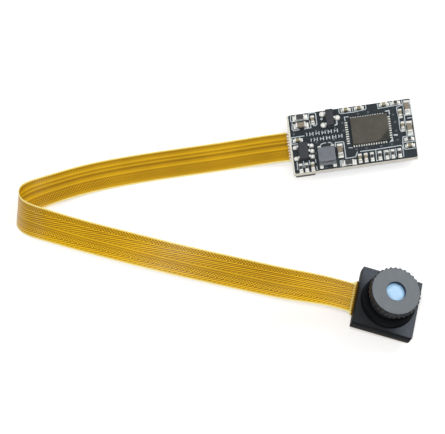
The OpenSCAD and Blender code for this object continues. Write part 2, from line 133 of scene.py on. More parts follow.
# The flex's middle line: guide points and the direction across it at each, as in the part's source
GUIDES = [
    ((-7.5, 15.45, 1.225), (0, 1, 0)),
    ((-10.6, 15.45, 1.225), (0, 1, 0)),
    ((-13.5, 15.6, 1), (0, 1, 0)),
    ((-17.5, 15.8, 0.3), (0, 1, 0)),
    ((-22, 15.8, 0.1), (0, 1, 0)),
    ((-27, 15.8, 0.1), (0, 1, 0)),
    ((-33, 15.8, 0.1), (0, 1, 0)),
    ((-39, 15.6, 0.2), (-0.05, 1, 0.03)),
    ((-44.5, 15.1, 0.5), (-0.1, 0.98, 0.05)),
    ((-49.5, 14, 1.2), (-0.15, 0.95, 0)),
    ((-54, 12.6, 2.4), (0, 0.85, 0.4)),
    ((-55, 10, 5.7), (0.25, 0.75, 0.6)),
    ((-53.8, 7.2, 8.8), (0.3, 0.8, 0.5)),
    ((-51.5, 5.2, 11), (0.35, 0.88, 0.3)),
    ((-47.7, 3.1, 12.1), (0.4, 0.9, 0.05)),
    ((-43, 0.8, 12.5), (0.4, 0.9, 0.1)),
    ((-37.3, -1.6, 12.5), (0.38, 0.92, 0.15)),
    ((-31.4, -3.9, 11.8), (0.36, 0.9, 0.25)),
    ((-25.3, -5.9, 10.4), (0.34, 0.9, 0.27)),
    ((-19.3, -7.6, 8.5), (0.34, 0.92, 0.25)),
    ((-13.7, -9.3, 6.7), (0.33, 0.93, 0.18)),
    (tuple(in_head(-9.85, 0, FLEX_MIDDLE)), tuple(head_across())),
    (tuple(in_head(-5.75, 0, FLEX_MIDDLE)), tuple(head_across())),
]


# ---------------------------------------------------------------- what a user may change


def length(name, text, size):
    """A length in metres with its default given in millimetres."""
    return FloatProperty(name=name, description=text, default=size * MM, min=0, unit="LENGTH", precision=5)


def colour(name, text, shade):
    """A colour with its default given as sRGB hex."""
    return FloatVectorProperty(name=name, description=text, default=linear(shade), size=4, min=0, max=1, subtype="COLOR")


class FlexLook(bpy.types.PropertyGroup):
    """Sizes and colours of the flexible circuit."""

    width: length("Width", "Width of the flexible circuit", 5)
    thickness: length("Thickness", "Thickness of the flexible circuit", 0.15)
    relief: length("Trace relief", "How far a copper trace lifts the film over it", 0.012)
    bright: colour("Film on copper", "Film where copper lies right under it", "F0BC1C")
    dark: colour("Film in gaps", "Film between the traces", "8A6006")
    edge: colour("Film margin", "Clear film at the two edges", "FFEE96")


class BoardLook(bpy.types.PropertyGroup):
    """Sizes and colours of the processor board."""

    mask_back: length("Mask margin", "Bare strip of laminate at the board's left edge", 0.3)
    ink_width: length("Legend width", "Width of a printed legend line", 0.15)
    ink_height: length("Legend height", "Height of a printed legend line", 0.015)
    package_edge: length("Package edge", "Rounding of a moulded package's edges", 0.05)
    mask: colour("Solder mask", "Solder mask on both faces", "282F33")
    laminate: colour("Laminate", "Glass laminate at the cut edges", "F4EFE2")
    ink: colour("Legend", "Printed legend lines", "D3DDE2")
    solder: colour("Solder", "Tinned solder", "F4F4EE")


class HeadLook(bpy.types.PropertyGroup):
    """Sizes and colours of the lens head."""

    edge: length("Holder edge", "Rounding of the lens holder's edges", 0.08)
    thread: length("Thread depth", "Depth of the focusing thread as it shows", 0.07)
    teeth: IntProperty(name="Knurl teeth", description="Teeth round the barrel's head", default=32, min=12, max=64)
    holder: colour("Holder", "Moulded lens holder", "4F545B")
    barrel: colour("Barrel", "Moulded lens barrel", "1C1D20")
    glass: colour("Front glass", "Coated front lens", "A2CEF1")


class StageLook(bpy.types.PropertyGroup):
    """The floor and the lamps."""

    floor: colour("Floor", "Floor under the module", "F2F2F2")
    sky: FloatProperty(name="Sky", description="Strength of the light from all round", default=0.42, min=0)
    lamp: FloatProperty(name="Main lamp", description="Power of the main lamp", default=0.6, min=0, unit="POWER")


# ---------------------------------------------------------------- mesh helpers, in millimetres


def sheet_of(bm, rows):
    """A grid of quads laid through rows of points."""
    made = bmesh.ops.create_grid(bm, x_segments=len(rows[0]) - 1, y_segments=len(rows) - 1, size=1)["verts"]
    for vert, point in zip(made, [p for row in rows for p in row]):
        vert.co = point
    return made


def tube_of(bm, rings, capped=True):
    """A skin through closed rings of points, with both ends closed, or the last ring met by the first."""
    rows = [ring + ring[:1] for ring in rings]
    made = sheet_of(bm, rows if capped else rows + rows[:1])
    bmesh.ops.remove_doubles(bm, verts=made, dist=1e-5)
    if capped:
        bmesh.ops.holes_fill(bm, edges=[e for e in bm.edges if e.is_boundary], sides=0)


def round_box(half_x, half_y, corner, z, steps=5):
    """A ring of points round a rectangle with round corners."""
    ring = []
    for turn, (sx, sy) in enumerate(((1, 1), (-1, 1), (-1, -1), (1, -1))):
        for k in range(steps + 1):
            angle = (turn + k / steps) * TURN / 4
            ring.append(
                Vector(
                    (
                        sx * (half_x - corner) + corner * math.cos(angle),
                        sy * (half_y - corner) + corner * math.sin(angle),
                        z,
                    )
                )
            )
    return ring


def soft_plate(bm, size, corner, edge, at, draft=0.0):
    """A plate standing on a point, with round corners, rounded rims and walls that lean from mid height."""
    x, y, h = size[0] / 2, size[1] / 2, size[2]
    rings = []
    for inset, z in (
        (edge, 0),
        (edge * 0.3, edge * 0.3),
        (0, edge),
        (-draft, h / 2),
        (0, h - edge),
        (edge * 0.3, h - edge * 0.3),
        (edge, h),
    ):
        inset += draft
        rings.append([Vector(at) + p for p in round_box(x - inset, y - inset, corner, z)])
    tube_of(bm, rings)


def block(bm, size, at, edge, turned=False):
    """A box standing on a point, with rounded edges."""
    sides = (size[1], size[0], size[2]) if turned else size
    place = Matrix.Translation(Vector(at) + Vector((0, 0, size[2] / 2))) @ Matrix.Diagonal((*sides, 1))
    made = bmesh.ops.create_cube(bm, size=1, matrix=place)["verts"]
    edges = list({e for v in made for e in v.link_edges})
    bmesh.ops.bevel(bm, geom=edges, offset=edge, segments=2, affect="EDGES", profile=0.5, material=-1)


def dome(bm, size, at, flat=0.35, rings=6):
    """A drop of solder on a flat face: a squashed ball with its lower part cut off."""
    place = Matrix.Translation(at) @ Matrix.Diagonal((size[0] / 2, size[1] / 2, size[2] / (1 + flat), 1))
    ball = bmesh.new()
    bmesh.ops.create_uvsphere(ball, u_segments=2 * rings, v_segments=rings + 2, radius=1)
    cut = bmesh.ops.bisect_plane(
        ball, geom=ball.verts[:] + ball.edges[:] + ball.faces[:], plane_co=(0, 0, -flat), plane_no=(0, 0, -1), clear_outer=True
    )
    bmesh.ops.holes_fill(ball, edges=[e for e in cut["geom_cut"] if isinstance(e, bmesh.types.BMEdge)], sides=0)
    bmesh.ops.transform(ball, matrix=place @ Matrix.Translation((0, 0, flat)), verts=ball.verts)
    join(bm, ball)


def join(bm, other):
    """Adds a second bmesh to the first and frees it."""
    mesh = bpy.data.meshes.new("joined")
    other.to_mesh(mesh)
    other.free()
    bm.from_mesh(mesh)
    bpy.data.meshes.remove(mesh)


def turned(bm, profile, steps=128):
    """A profile of radii and heights spun round the Z axis."""
    verts = [bm.verts.new((r, 0, z)) for r, z in profile]
    edges = [bm.edges.new(pair) for pair in zip(verts, verts[1:])]
    bmesh.ops.spin(bm, geom=verts + edges, axis=(0, 0, 1), cent=(0, 0, 0), angle=TURN, steps=steps, use_merge=True)
    bmesh.ops.remove_doubles(bm, verts=bm.verts, dist=1e-5)


def softened(bm, name, edge, least=30):
    """A merged copy of a CAD node's mesh with its sharp edges rounded."""
    copy = bmesh.new()
    copy.from_mesh(NODES[name].data)
    bmesh.ops.scale(copy, vec=(1 / MM,) * 3, verts=copy.verts)
    bmesh.ops.remove_doubles(copy, verts=copy.verts, dist=1e-4)
    bmesh.ops.dissolve_limit(copy, angle_limit=math.radians(1), verts=copy.verts, edges=copy.edges)
    sharp = [e for e in copy.edges if e.is_manifold and e.calc_face_angle() > math.radians(least)]
    bmesh.ops.bevel(copy, geom=sharp, offset=edge, segments=2, affect="EDGES", profile=0.5, material=-1)
    join(bm, copy)


def islands(name):
    """The middle of the foot and the size of each separate solid in a CAD node, in millimetres."""
    bm = bmesh.new()
    bm.from_mesh(NODES[name].data)
    bmesh.ops.remove_doubles(bm, verts=bm.verts, dist=1e-7)
    left, found = set(bm.verts), []
    while left:
        queue = [left.pop()]
        group = []
        while queue:
            vert = queue.pop()
            group.append(vert.co / MM)
            for e in vert.link_edges:
                other = e.other_vert(vert)
                if other in left:
                    left.remove(other)
                    queue.append(other)
        low = Vector([min(p[i] for p in group) for i in range(3)])
        high = Vector([max(p[i] for p in group) for i in range(3)])
        found.append((Vector(((low.x + high.x) / 2, (low.y + high.y) / 2, low.z)), high - low))
    bm.free()
    return sorted(found, key=lambda item: (round(item[0].x, 3), round(item[0].y, 3), round(item[0].z, 3)))


def piece(name, bm, materials, nodes=(), place=None, body="module", smooth=35, merge=1e-4):
    """A finished object from a bmesh in millimetres, on its body and in place of its CAD nodes."""
    bmesh.ops.remove_doubles(bm, verts=bm.verts, dist=merge)
    bmesh.ops.recalc_face_normals(bm, faces=bm.faces)
    bmesh.ops.transform(bm, matrix=Matrix.Scale(MM, 4) @ (place or Matrix()), verts=bm.verts)
    mesh = bpy.data.meshes.new(name)
    bm.to_mesh(mesh)
    bm.free()
    for material in materials:
        mesh.materials.append(material)
    mesh.shade_smooth()
    mesh.set_sharp_from_angle(angle=math.radians(smooth))
    made = bpy.data.objects.new(name, mesh)
    bpy.context.scene.collection.objects.link(made)
    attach(made, body)
    if nodes:
        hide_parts(*nodes)
    return made


# ---------------------------------------------------------------- material helpers


def node(tree, kind, inputs=None, stops=None, **settings):
    """Adds a node with its settings, its ramp's stops, and a value or a link for each input that is given."""
    made = tree.nodes.new(kind)
    for name, value in settings.items():
        setattr(made, name, value)
    for name, value in (inputs or {}).items():
        if isinstance(value, bpy.types.NodeSocket):
            tree.links.new(value, made.inputs[name])
        else:
            made.inputs[name].default_value = value
    for i, (place, shade) in enumerate(stops or []):
        ramp = made.color_ramp.elements
        stop = ramp[i] if i < len(ramp) else ramp.new(place)
        stop.position, stop.color = place, linear(shade) if isinstance(shade, str) else shade
    return made


def surface(name, **principled):
    """A new material with its shader's own values set, and its tree and shader node."""
    material = bpy.data.materials.new(name)
    material.use_nodes = True
    tree = material.node_tree
    shader = tree.nodes["Principled BSDF"]
    for key, value in principled.items():
        shader.inputs[key.replace("_", " ")].default_value = value
    return material, tree, shader


def per_mm(size):
    """The scale that gives a noise or cell texture features of that size in millimetres."""
    return 1 / (size * MM)


def mottled(name, low, high, grain, bump=0.0, bump_grain=None, rough=(0.4, 0.5), spots=None, **principled):
    """A finish whose colour wanders between two shades, whose gloss wanders too, and whose face has a fine grain."""
    material, tree, shader = surface(name, **principled)
    place = node(tree, "ShaderNodeTexCoord").outputs["Object"]
    cloud = node(tree, "ShaderNodeTexNoise", {"Vector": place, "Scale": per_mm(grain), "Detail": 4.0})
    mix = node(
        tree,
        "ShaderNodeMix",
        {"Factor": cloud.outputs["Fac"], "A": low, "B": high},
        data_type="RGBA",
    )
    tint = mix.outputs["Result"]
    if spots:
        size, shade, share = spots
        cells = node(tree, "ShaderNodeTexVoronoi", {"Vector": place, "Scale": per_mm(size)})
        near = node(tree, "ShaderNodeMath", {0: cells.outputs["Distance"], 1: share}, operation="LESS_THAN")
        tint = node(
            tree, "ShaderNodeMix", {"Factor": near.outputs[0], "A": tint, "B": linear(shade)}, data_type="RGBA"
        ).outputs["Result"]
    tree.links.new(tint, shader.inputs["Base Color"])
    gloss = node(tree, "ShaderNodeMapRange", {"Value": cloud.outputs["Fac"], "To Min": rough[0], "To Max": rough[1]})
    tree.links.new(gloss.outputs["Result"], shader.inputs["Roughness"])
    if bump:
        grit = node(tree, "ShaderNodeTexNoise", {"Vector": place, "Scale": per_mm(bump_grain or grain), "Detail": 3.0})
        lift = node(tree, "ShaderNodeBump", {"Strength": 1.0, "Distance": bump * MM, "Height": grit.outputs["Fac"]})
        tree.links.new(lift.outputs["Normal"], shader.inputs["Normal"])
    return material


# ---------------------------------------------------------------- the flexible circuit

# Bands across the film from its upper edge, in millimetres: where each starts, how bright it is
# from 0 in a gap to 1 on copper, and how far the copper lifts it. The two faces have their own layout.
FACE_BANDS = [
    (0.30, 0.22, 0), (0.42, 0.30, 0), (0.55, 0.35, 1), (0.72, 0.28, 0), (0.88, 0.42, 0), (1.02, 0.80, 1),
    (1.18, 0.30, 0), (1.38, 0.38, 0), (1.55, 0.78, 1), (1.76, 0.35, 0), (1.92, 0.55, 1), (2.10, 0.45, 0),
    (2.24, 0.62, 1), (2.42, 0.25, 0), (2.56, 1.00, 1), (2.80, 0.12, 0), (2.95, 0.72, 1), (3.14, 0.10, 0),
    (3.30, 0.62, 1), (3.50, 0.48, 0), (3.68, 0.64, 1), (3.86, 0.40, 0), (4.02, 0.52, 0), (4.22, 0.82, 1),
    (4.50, 0.70, 1), (4.66, 0.12, 0),
]
BACK_BANDS = [
    (0.30, 0.15, 0), (0.48, 0.30, 0), (0.62, 0.42, 1), (0.86, 0.62, 1), (1.05, 0.85, 1), (1.25, 0.30, 0),
    (1.45, 0.35, 0), (1.62, 0.78, 1), (1.82, 0.22, 0), (2.08, 0.16, 0), (2.24, 0.48, 1), (2.50, 0.55, 1),
    (2.66, 0.86, 1), (2.98, 0.18, 0), (3.16, 0.45, 1), (3.40, 0.34, 0), (3.60, 0.36, 1), (4.00, 0.34, 0),
    (4.28, 0.48, 1), (4.50, 0.58, 1), (4.68, 0.22, 0),
]
FILM_MARGIN = 0.27
BAND_STEPS = 100


def spline(four, t):
    """A point of the uniform cubic spline through four neighbouring guides."""
    a, b, c, d = four
    return ((1 - t) ** 3 * a + (3 * t**3 - 6 * t**2 + 4) * b + (1 + 3 * t + 3 * t**2 - 3 * t**3) * c + t**3 * d) / 6


def slope(four, t):
    """The heading of that spline."""
    a, b, c, d = four
    return (-((1 - t) ** 2) * a + (3 * t**2 - 4 * t) * b + (1 + 2 * t - 3 * t**2) * c + t**2 * d) / 2


def with_ends(points):
    """The guides with one more beyond each end, so that the curve starts and stops on them."""
    return [2 * points[0] - points[1], *points, 2 * points[-1] - points[-2]]


def stations(width, steps=10):
    """Places along the flex in millimetres: middle, heading, across and half width."""
    line = with_ends([Vector(p) for p, _ in GUIDES])
    side = with_ends([Vector(w) for _, w in GUIDES])
    made = []
    for i in range(len(line) - 3):
        last = i == len(line) - 4
        for k in range(steps + 1 if last else steps):
            t = k / steps
            heading = slope(line[i : i + 4], t).normalized()
            across = spline(side[i : i + 4], t)
            across = (across - across.dot(heading) * heading).normalized()
            made.append((spline(line[i : i + 4], t), heading, across, width / 2))
    u, v = HEAD.to_3x3() @ Vector((1, 0, 0)), head_across()
    for x, half in (
        (-HEAD_HALF - TAB_REACH, width / 2 + 0.5),
        (-PLATE_HALF - 0.05, width / 2 + 0.5),
        (0.05 - PLATE_HALF, PLATE_HALF - PLATE_CORNER),
        (PLATE_CORNER - PLATE_HALF, PLATE_HALF),
        (PLATE_HALF - PLATE_CORNER, PLATE_HALF),
        (PLATE_HALF, PLATE_HALF - PLATE_CORNER),
    ):
        made.append((in_head(x, 0, FLEX_MIDDLE), u, v, half))
    return made


def lift_at(bands, place):
    """How far the copper lifts the film at a distance from its upper edge, from 0 to 1."""
    for (start, _, up), (stop, _, _) in zip(bands, bands[1:]):
        if up and start <= place <= stop:
            inside = min(place - start, stop - place)
            return min(1, inside / 0.05)
    return 0


def film(name, bands, look, hatches, tab):
    """Amber polyimide film laminated over etched copper: glossy, with each trace a brighter, raised line."""
    # The film is calendered, so it shines in broad soft streaks
    material, tree, shader = surface(name, Roughness=0.3, Specular_IOR_Level=0.1, IOR=1.6)
    uv = node(tree, "ShaderNodeSeparateXYZ", {"Vector": node(tree, "ShaderNodeUVMap", uv_map="UVMap").outputs[0]})
    # The map runs from 0 to 1 over 200 mm along and over 10 mm across, so both become millimetres
    along = node(tree, "ShaderNodeMath", {0: uv.outputs["X"], 1: 200.0}, operation="MULTIPLY").outputs[0]
    down = node(tree, "ShaderNodeMath", {0: uv.outputs["Y"], 1: -10.0, 2: 7.5}, operation="MULTIPLY_ADD").outputs[0]
    spot = node(tree, "ShaderNodeCombineXYZ", {"X": along, "Y": down}).outputs[0]
    share = node(tree, "ShaderNodeMath", {0: down, 1: 5.0}, operation="DIVIDE").outputs[0]
    stops = [(0.0, (1, 1, 1, 1)), (0.16 / 5, (1, 1, 1, 1))]
    for (start, bright, _), (stop, _, _) in zip(bands, bands[1:]):
        stops.append((((start + stop) / 2) / 5, (bright, bright, bright, 1)))
    bright = node(tree, "ShaderNodeValToRGB", {"Fac": share}, stops=stops).outputs["Color"]
    # A slow wander along the film, 9 mm long, keeps the lines from being ruled
    drift = node(tree, "ShaderNodeTexNoise", {"Vector": spot, "Scale": 0.11, "Detail": 3.0}).outputs["Fac"]
    tone = bright
    for low, high, pitch, slant, depth in hatches:
        # Slanting traces between two distances from the edge, pitch in millimetres
        turn = node(tree, "ShaderNodeMapping", {"Vector": spot, "Rotation": (0, 0, slant)}).outputs[0]
        wave = node(
            tree,
            "ShaderNodeTexWave",
            {"Vector": turn, "Scale": TURN / 20 / pitch, "Distortion": 0.6, "Detail": 1.0, "Detail Scale": 2.0},
            bands_direction="X",
        ).outputs["Fac"]
        after = node(tree, "ShaderNodeMath", {0: down, 1: low}, operation="GREATER_THAN").outputs[0]
        before = node(tree, "ShaderNodeMath", {0: down, 1: high}, operation="LESS_THAN").outputs[0]
        inside = node(tree, "ShaderNodeMath", {0: after, 1: before}, operation="MULTIPLY").outputs[0]
        swing = node(tree, "ShaderNodeMapRange", {"Value": wave, "To Min": -depth, "To Max": depth}).outputs["Result"]
        part = node(tree, "ShaderNodeMath", {0: swing, 1: inside}, operation="MULTIPLY").outputs[0]
        tone = node(tree, "ShaderNodeMath", {0: tone, 1: part}, operation="ADD").outputs[0]
    sway = node(tree, "ShaderNodeMapRange", {"Value": drift, "From Min": 0.3, "From Max": 0.7, "To Min": -0.12, "To Max": 0.12})
    tone = node(tree, "ShaderNodeMath", {0: tone, 1: sway.outputs["Result"]}, operation="ADD", use_clamp=True).outputs[0]
    gold = node(tree, "ShaderNodeMix", {"Factor": tone, "A": look.dark, "B": look.bright}, data_type="RGBA")
    # Bare film at both edges has no copper behind it and stays nearly clear
    inner = node(tree, "ShaderNodeMath", {0: down, 1: 2.5}, operation="SUBTRACT").outputs[0]
    away = node(tree, "ShaderNodeMath", {0: inner}, operation="ABSOLUTE").outputs[0]
    margin = node(
        tree,
        "ShaderNodeMapRange",
        {"Value": away, "From Min": 2.5 - FILM_MARGIN, "From Max": 2.5 - FILM_MARGIN * 0.45},
    ).outputs["Result"]
    # The margin ends where the film widens into the tab, whose copper pour looks brown
    narrow = node(tree, "ShaderNodeMath", {0: along, 1: tab}, operation="LESS_THAN").outputs[0]
    margin = node(tree, "ShaderNodeMath", {0: margin, 1: narrow}, operation="MULTIPLY").outputs[0]
    pour = node(tree, "ShaderNodeMix", {"Factor": narrow, "A": look.dark, "B": gold.outputs["Result"]}, data_type="RGBA")
    edged = node(tree, "ShaderNodeMix", {"Factor": margin, "A": pour.outputs["Result"], "B": look.edge}, data_type="RGBA")
    # A zig-zag of bare film 0.24 mm wide runs across just before it
    teeth = node(tree, "ShaderNodeMath", {0: down, 1: 0.25}, operation="PINGPONG").outputs[0]
    ahead = node(tree, "ShaderNodeMath", {0: along, 1: teeth}, operation="ADD").outputs[0]
    off = node(tree, "ShaderNodeMath", {0: ahead, 1: tab - 0.08}, operation="SUBTRACT").outputs[0]
    gap = node(tree, "ShaderNodeMath", {0: off}, operation="ABSOLUTE").outputs[0]
    zig = node(tree, "ShaderNodeMath", {0: gap, 1: 0.12}, operation="LESS_THAN").outputs[0]
    zig = node(tree, "ShaderNodeMath", {0: zig, 1: 0.6}, operation="MULTIPLY").outputs[0]
    edged = node(tree, "ShaderNodeMix", {"Factor": zig, "A": edged.outputs["Result"], "B": look.edge}, data_type="RGBA")
    tree.links.new(edged.outputs["Result"], shader.inputs["Base Color"])
    relief = node(tree, "ShaderNodeBump", {"Strength": 0.6, "Distance": 0.01 * MM, "Height": tone})
    tree.links.new(relief.outputs["Normal"], shader.inputs["Normal"])
    return material


class CAMMOD_OT_flex(bpy.types.Operator):
    """Lays the flexible circuit as one laminated strip with its traces in relief"""

    bl_idname = "cammod.flex"
    bl_label = "Flexible circuit"

    def execute(self, context):
        look = context.scene.cammod_flex
        width, thick, relief = look.width / MM, look.thickness / MM, look.relief / MM
        places = stations(width)
        ring = [(2 * k / BAND_STEPS - 1, 1) for k in range(BAND_STEPS + 1)]
        ring += [(1 - 2 * k / BAND_STEPS, -1) for k in range(BAND_STEPS + 1)]
        runs = [0.0]
        for a, b in zip(places, places[1:]):
            runs.append(runs[-1] + (b[0] - a[0]).length)
        rings = []
        for middle, heading, across, half in places:
            up = heading.cross(across)
            row = []
            for x, face in ring:
                edge = min(1, (1 - abs(x)) * half / 0.04)
                copper = lift_at(FACE_BANDS if face > 0 else BACK_BANDS, 2.5 - x * 2.5)
                height = thick / 2 * (0.45 + 0.55 * edge) - relief * (1 - copper)
                row.append(middle + across * x * half + up * face * height)
            rings.append(row)
        bm = bmesh.new()
        layer = bm.loops.layers.uv.new("UVMap")
        count = len(ring)
        made = sheet_of(bm, [row + row[:1] for row in rings])
        spots = {v.index: divmod(v.index, count + 1) for v in made}
        for face in bm.faces:
            back = sum(spots[v.index][1] for v in face.verts) / 4 > BAND_STEPS + 0.4
            face.material_index = 1 if back else 0
            for loop in face.loops:
                i, j = spots[loop.vert.index]
                x = ring[j % count][0] * places[i][3]
                loop[layer].uv = (runs[i] / 200, (x + 5) / 10)
        bmesh.ops.remove_doubles(bm, verts=bm.verts, dist=1e-5)
        bmesh.ops.holes_fill(bm, edges=[e for e in bm.edges if e.is_boundary], sides=0)
        # Each hatch: its limits from the upper edge, the pitch, the slant and how strong it is
        face_film = film(
            "polyimide_face",
            FACE_BANDS,
            look,
            [
                (0.28, 0.95, 0.33, 0.9, 0.6),
                (0.28, 0.95, 0.33, -0.7, 0.5),
                (0.95, 2.45, 0.34, -1.15, 0.4),
                (3.2, 3.9, 0.32, 0.85, 0.5),
                (3.2, 3.9, 0.32, -0.85, 0.5),
                (3.9, 4.66, 0.36, -1.1, 0.42),
            ],
            runs[-6],
        )
        back_film = film(
            "polyimide_back",
            BACK_BANDS,
            look,
            [
                (0.25, 0.6, 0.36, 0.5, 0.4),
                (3.1, 4.3, 0.34, 0.8, 0.24),
                (3.1, 4.3, 0.34, -0.8, 0.24),
            ],
            runs[-6],
        )
        made = piece("flex_ribbon", bm, [face_film, back_film], ["flex_circuit"], smooth=50, merge=1e-6)
        return {"FINISHED"}


# ---------------------------------------------------------------- finishes


def solder_finish(look):
    """Reflowed tin solder: bright and a little frosted, so that it shines white with soft grey hollows."""
    # Frost 0.05 mm across, drawn at 0.12 mm so that it shows
    return mottled(
        "reflowed_tin",
        shade(look.solder, 0.75),
        shade(look.solder, 1.1),
        0.12,
        bump=0.006,
        rough=(0.3, 0.48),
        Metallic=0.25,
    )


def shared(name, make, *look):
    """The material of that name, made the first time that it is wanted."""
    return bpy.data.materials.get(name) or make(*look)


def tinned_sheet():
    """Tin-plated copper strip, stamped and bent: a satin grey-white metal with fine drawing lines."""
    return mottled(
        "tinned_sheet", linear("AEB2B4"), linear("D8DADA"), 0.2, bump=0.003, bump_grain=0.08, rough=(0.28, 0.42), Metallic=0.9
    )


def plated_end():
    """Nickel and tin plated over fired silver: a bright matt metal with a slight grain."""
    return mottled(
        "plated_end", linear("D2D3D0"), linear("F4F4F0"), 0.15, bump=0.004, bump_grain=0.07, rough=(0.3, 0.48), Metallic=0.4
    )


def epoxy_black():
    """Black epoxy moulding compound: matt charcoal with pale silica grains in it."""
    # Filler grains of 0.03 mm, drawn at 0.1 mm so that they show
    return mottled(
        "epoxy_charcoal",
        linear("303236"),
        linear("424448"),
        0.35,
        bump=0.006,
        bump_grain=0.1,
        rough=(0.5, 0.68),
        spots=(0.14, "606266", 0.1),
        Specular_IOR_Level=0.25,
    )


# ---------------------------------------------------------------- the board


def at_board(x, y, z=0.0):
    """A point measured from the board's front left corner and its upper face."""
    return Vector((BOARD_LOW.x + x, BOARD_LOW.y + y, BOARD_TOP + z))


def mask_finish(look):
    """Dark solder mask over etched copper: a satin lacquer, slightly lighter and raised over the traces."""
    material, tree, shader = surface("solder_mask", Specular_IOR_Level=0.15)
    place = node(tree, "ShaderNodeTexCoord").outputs["Object"]
    # Traces 0.2 mm wide in runs of a few millimetres: cells with straight sides give their edges
    cells = node(
        tree,
        "ShaderNodeTexVoronoi",
        {"Vector": place, "Scale": per_mm(1.3), "Randomness": 0.8},
        distance="MANHATTAN",
        feature="F1",
    )
    steps = node(tree, "ShaderNodeMath", {0: cells.outputs["Distance"], 1: 5.0}, operation="MULTIPLY").outputs[0]
    folds = node(tree, "ShaderNodeMath", {0: steps, 1: 1.0}, operation="PINGPONG").outputs[0]
    traces = node(tree, "ShaderNodeMapRange", {"Value": folds, "From Min": 0.4, "From Max": 0.6}).outputs["Result"]
    cloud = node(tree, "ShaderNodeTexNoise", {"Vector": place, "Scale": per_mm(2.2), "Detail": 5.0}).outputs["Fac"]
    raw = node(tree, "ShaderNodeMath", {0: traces, 1: 0.45}, operation="MULTIPLY").outputs[0]
    tone = node(tree, "ShaderNodeMath", {0: raw, 1: cloud}, operation="ADD").outputs[0]
    mix = node(
        tree,
        "ShaderNodeMix",
        {"Factor": tone, "A": shade(look.mask, 0.72), "B": shade(look.mask, 1.35)},
        data_type="RGBA",
    )
    tree.links.new(mix.outputs["Result"], shader.inputs["Base Color"])
    gloss = node(tree, "ShaderNodeMapRange", {"Value": cloud, "To Min": 0.3, "To Max": 0.5}).outputs["Result"]
    tree.links.new(gloss, shader.inputs["Roughness"])
    lift = node(tree, "ShaderNodeBump", {"Strength": 0.7, "Distance": 0.02 * MM, "Height": traces})
    tree.links.new(lift.outputs["Normal"], shader.inputs["Normal"])
    return material


def laminate_finish(look):
    """Glass cloth in epoxy, sawn: cream, with the cloth's layers as faint lines along the cut."""
    material, tree, shader = surface("sawn_laminate", Roughness=0.75)
    place = node(tree, "ShaderNodeTexCoord").outputs["Object"]
    # Seven layers of cloth in the millimetre of thickness
    layers = node(tree, "ShaderNodeTexWave", {"Vector": place, "Scale": TURN / 20 / (0.14 * MM), "Distortion": 1.5}, bands_direction="Z")
    fuzz = node(tree, "ShaderNodeTexNoise", {"Vector": place, "Scale": per_mm(0.25), "Detail": 5.0})
    tone = node(tree, "ShaderNodeMath", {0: layers.outputs["Fac"], 1: fuzz.outputs["Fac"]}, operation="MULTIPLY").outputs[0]
    mix = node(
        tree,
        "ShaderNodeMix",
        {"Factor": tone, "A": look.laminate, "B": shade(look.laminate, 0.72)},
        data_type="RGBA",
    )
    tree.links.new(mix.outputs["Result"], shader.inputs["Base Color"])
    lift = node(tree, "ShaderNodeBump", {"Strength": 0.8, "Distance": 0.02 * MM, "Height": tone})
    tree.links.new(lift.outputs["Normal"], shader.inputs["Normal"])
    return material


# Plated holes through the board, from its front left corner
VIAS = [
    (0.9, 6.85), (2.9, 6.75), (3.2, 4.1), (4.5, 6.9), (6.1, 6.75), (7.6, 6.9), (8.9, 7.6), (9.35, 4.9), (8.95, 6.3),
    (10.6, 2.75), (12.2, 2.75), (14.6, 2.7), (16.3, 2.8), (17.35, 3.4), (17.3, 5.0), (17.35, 6.5), (17.2, 7.8),
    (13.2, 8.85), (11.6, 8.8), (4.4, 4.9), (4.0, 3.0), (7.2, 5.0), (0.6, 4.4), (5.4, 0.4), (6.5, 9.85),
]


class CAMMOD_OT_board(bpy.types.Operator):
    """Makes the bare board: a laminate slab with sawn edges, masked on both faces, with plated holes"""

    bl_idname = "cammod.board"
    bl_label = "Board"

    def execute(self, context):
        look = context.scene.cammod_board
        back = look.mask_back / MM
        mask_t = 0.02
        middle = Vector(((BOARD_LOW.x + BOARD_HIGH.x) / 2, (BOARD_LOW.y + BOARD_HIGH.y) / 2, BOARD_UNDER))
        bm = bmesh.new()
        soft_plate(
            bm,
            (BOARD_LONG, BOARD_WIDE, BOARD_TOP - BOARD_UNDER - mask_t),
            BOARD_CORNER,
            0.02,
            middle + Vector((0, 0, mask_t / 2)),
        )
        # Tabs of the panel that the board was cut from, left along the front edge as pale notches
        for x in [2.1 + 0.75 * k for k in range(22)]:
            block(bm, (0.3, 0.06, 0.5), at_board(x, 0.012, -0.76), 0.015)
        piece("board_laminate", bm, [laminate_finish(look)], ["circuit_board"])
        bm = bmesh.new()
        for z in (BOARD_TOP - mask_t, BOARD_UNDER):
            soft_plate(
                bm,
                (BOARD_LONG - back - 0.03, BOARD_WIDE - 0.06, mask_t),
                BOARD_CORNER,
                0.006,
                (middle.x + back / 2, middle.y, z),
            )
        piece("board_mask", bm, [mask_finish(look)], [])
        bm = bmesh.new()
        for x, y in VIAS:
            for z, way in ((BOARD_TOP, 1), (BOARD_UNDER, -1)):
                rim = bmesh.new()
                turned(rim, [(0.075, -0.01), (0.085, 0.012), (0.15, 0.012), (0.165, 0.004), (0.165, -0.01)], 20)
                spot = Matrix.Translation((BOARD_LOW.x + x, BOARD_LOW.y + y, z)) @ Matrix.Diagonal((1, 1, way, 1))
                bmesh.ops.transform(rim, matrix=spot, verts=rim.verts)
                join(bm, rim)
        # A via's rim under the mask: dull tinned copper, dark with lacquer in its middle
        rims = mottled("lacquered_copper", linear("4A5358"), linear("7A838A"), 0.3, rough=(0.3, 0.5), Metallic=0.4)
        piece("via_rims", bm, [rims], [])
        return {"FINISHED"}


# ---------------------------------------------------------------- the printed legend

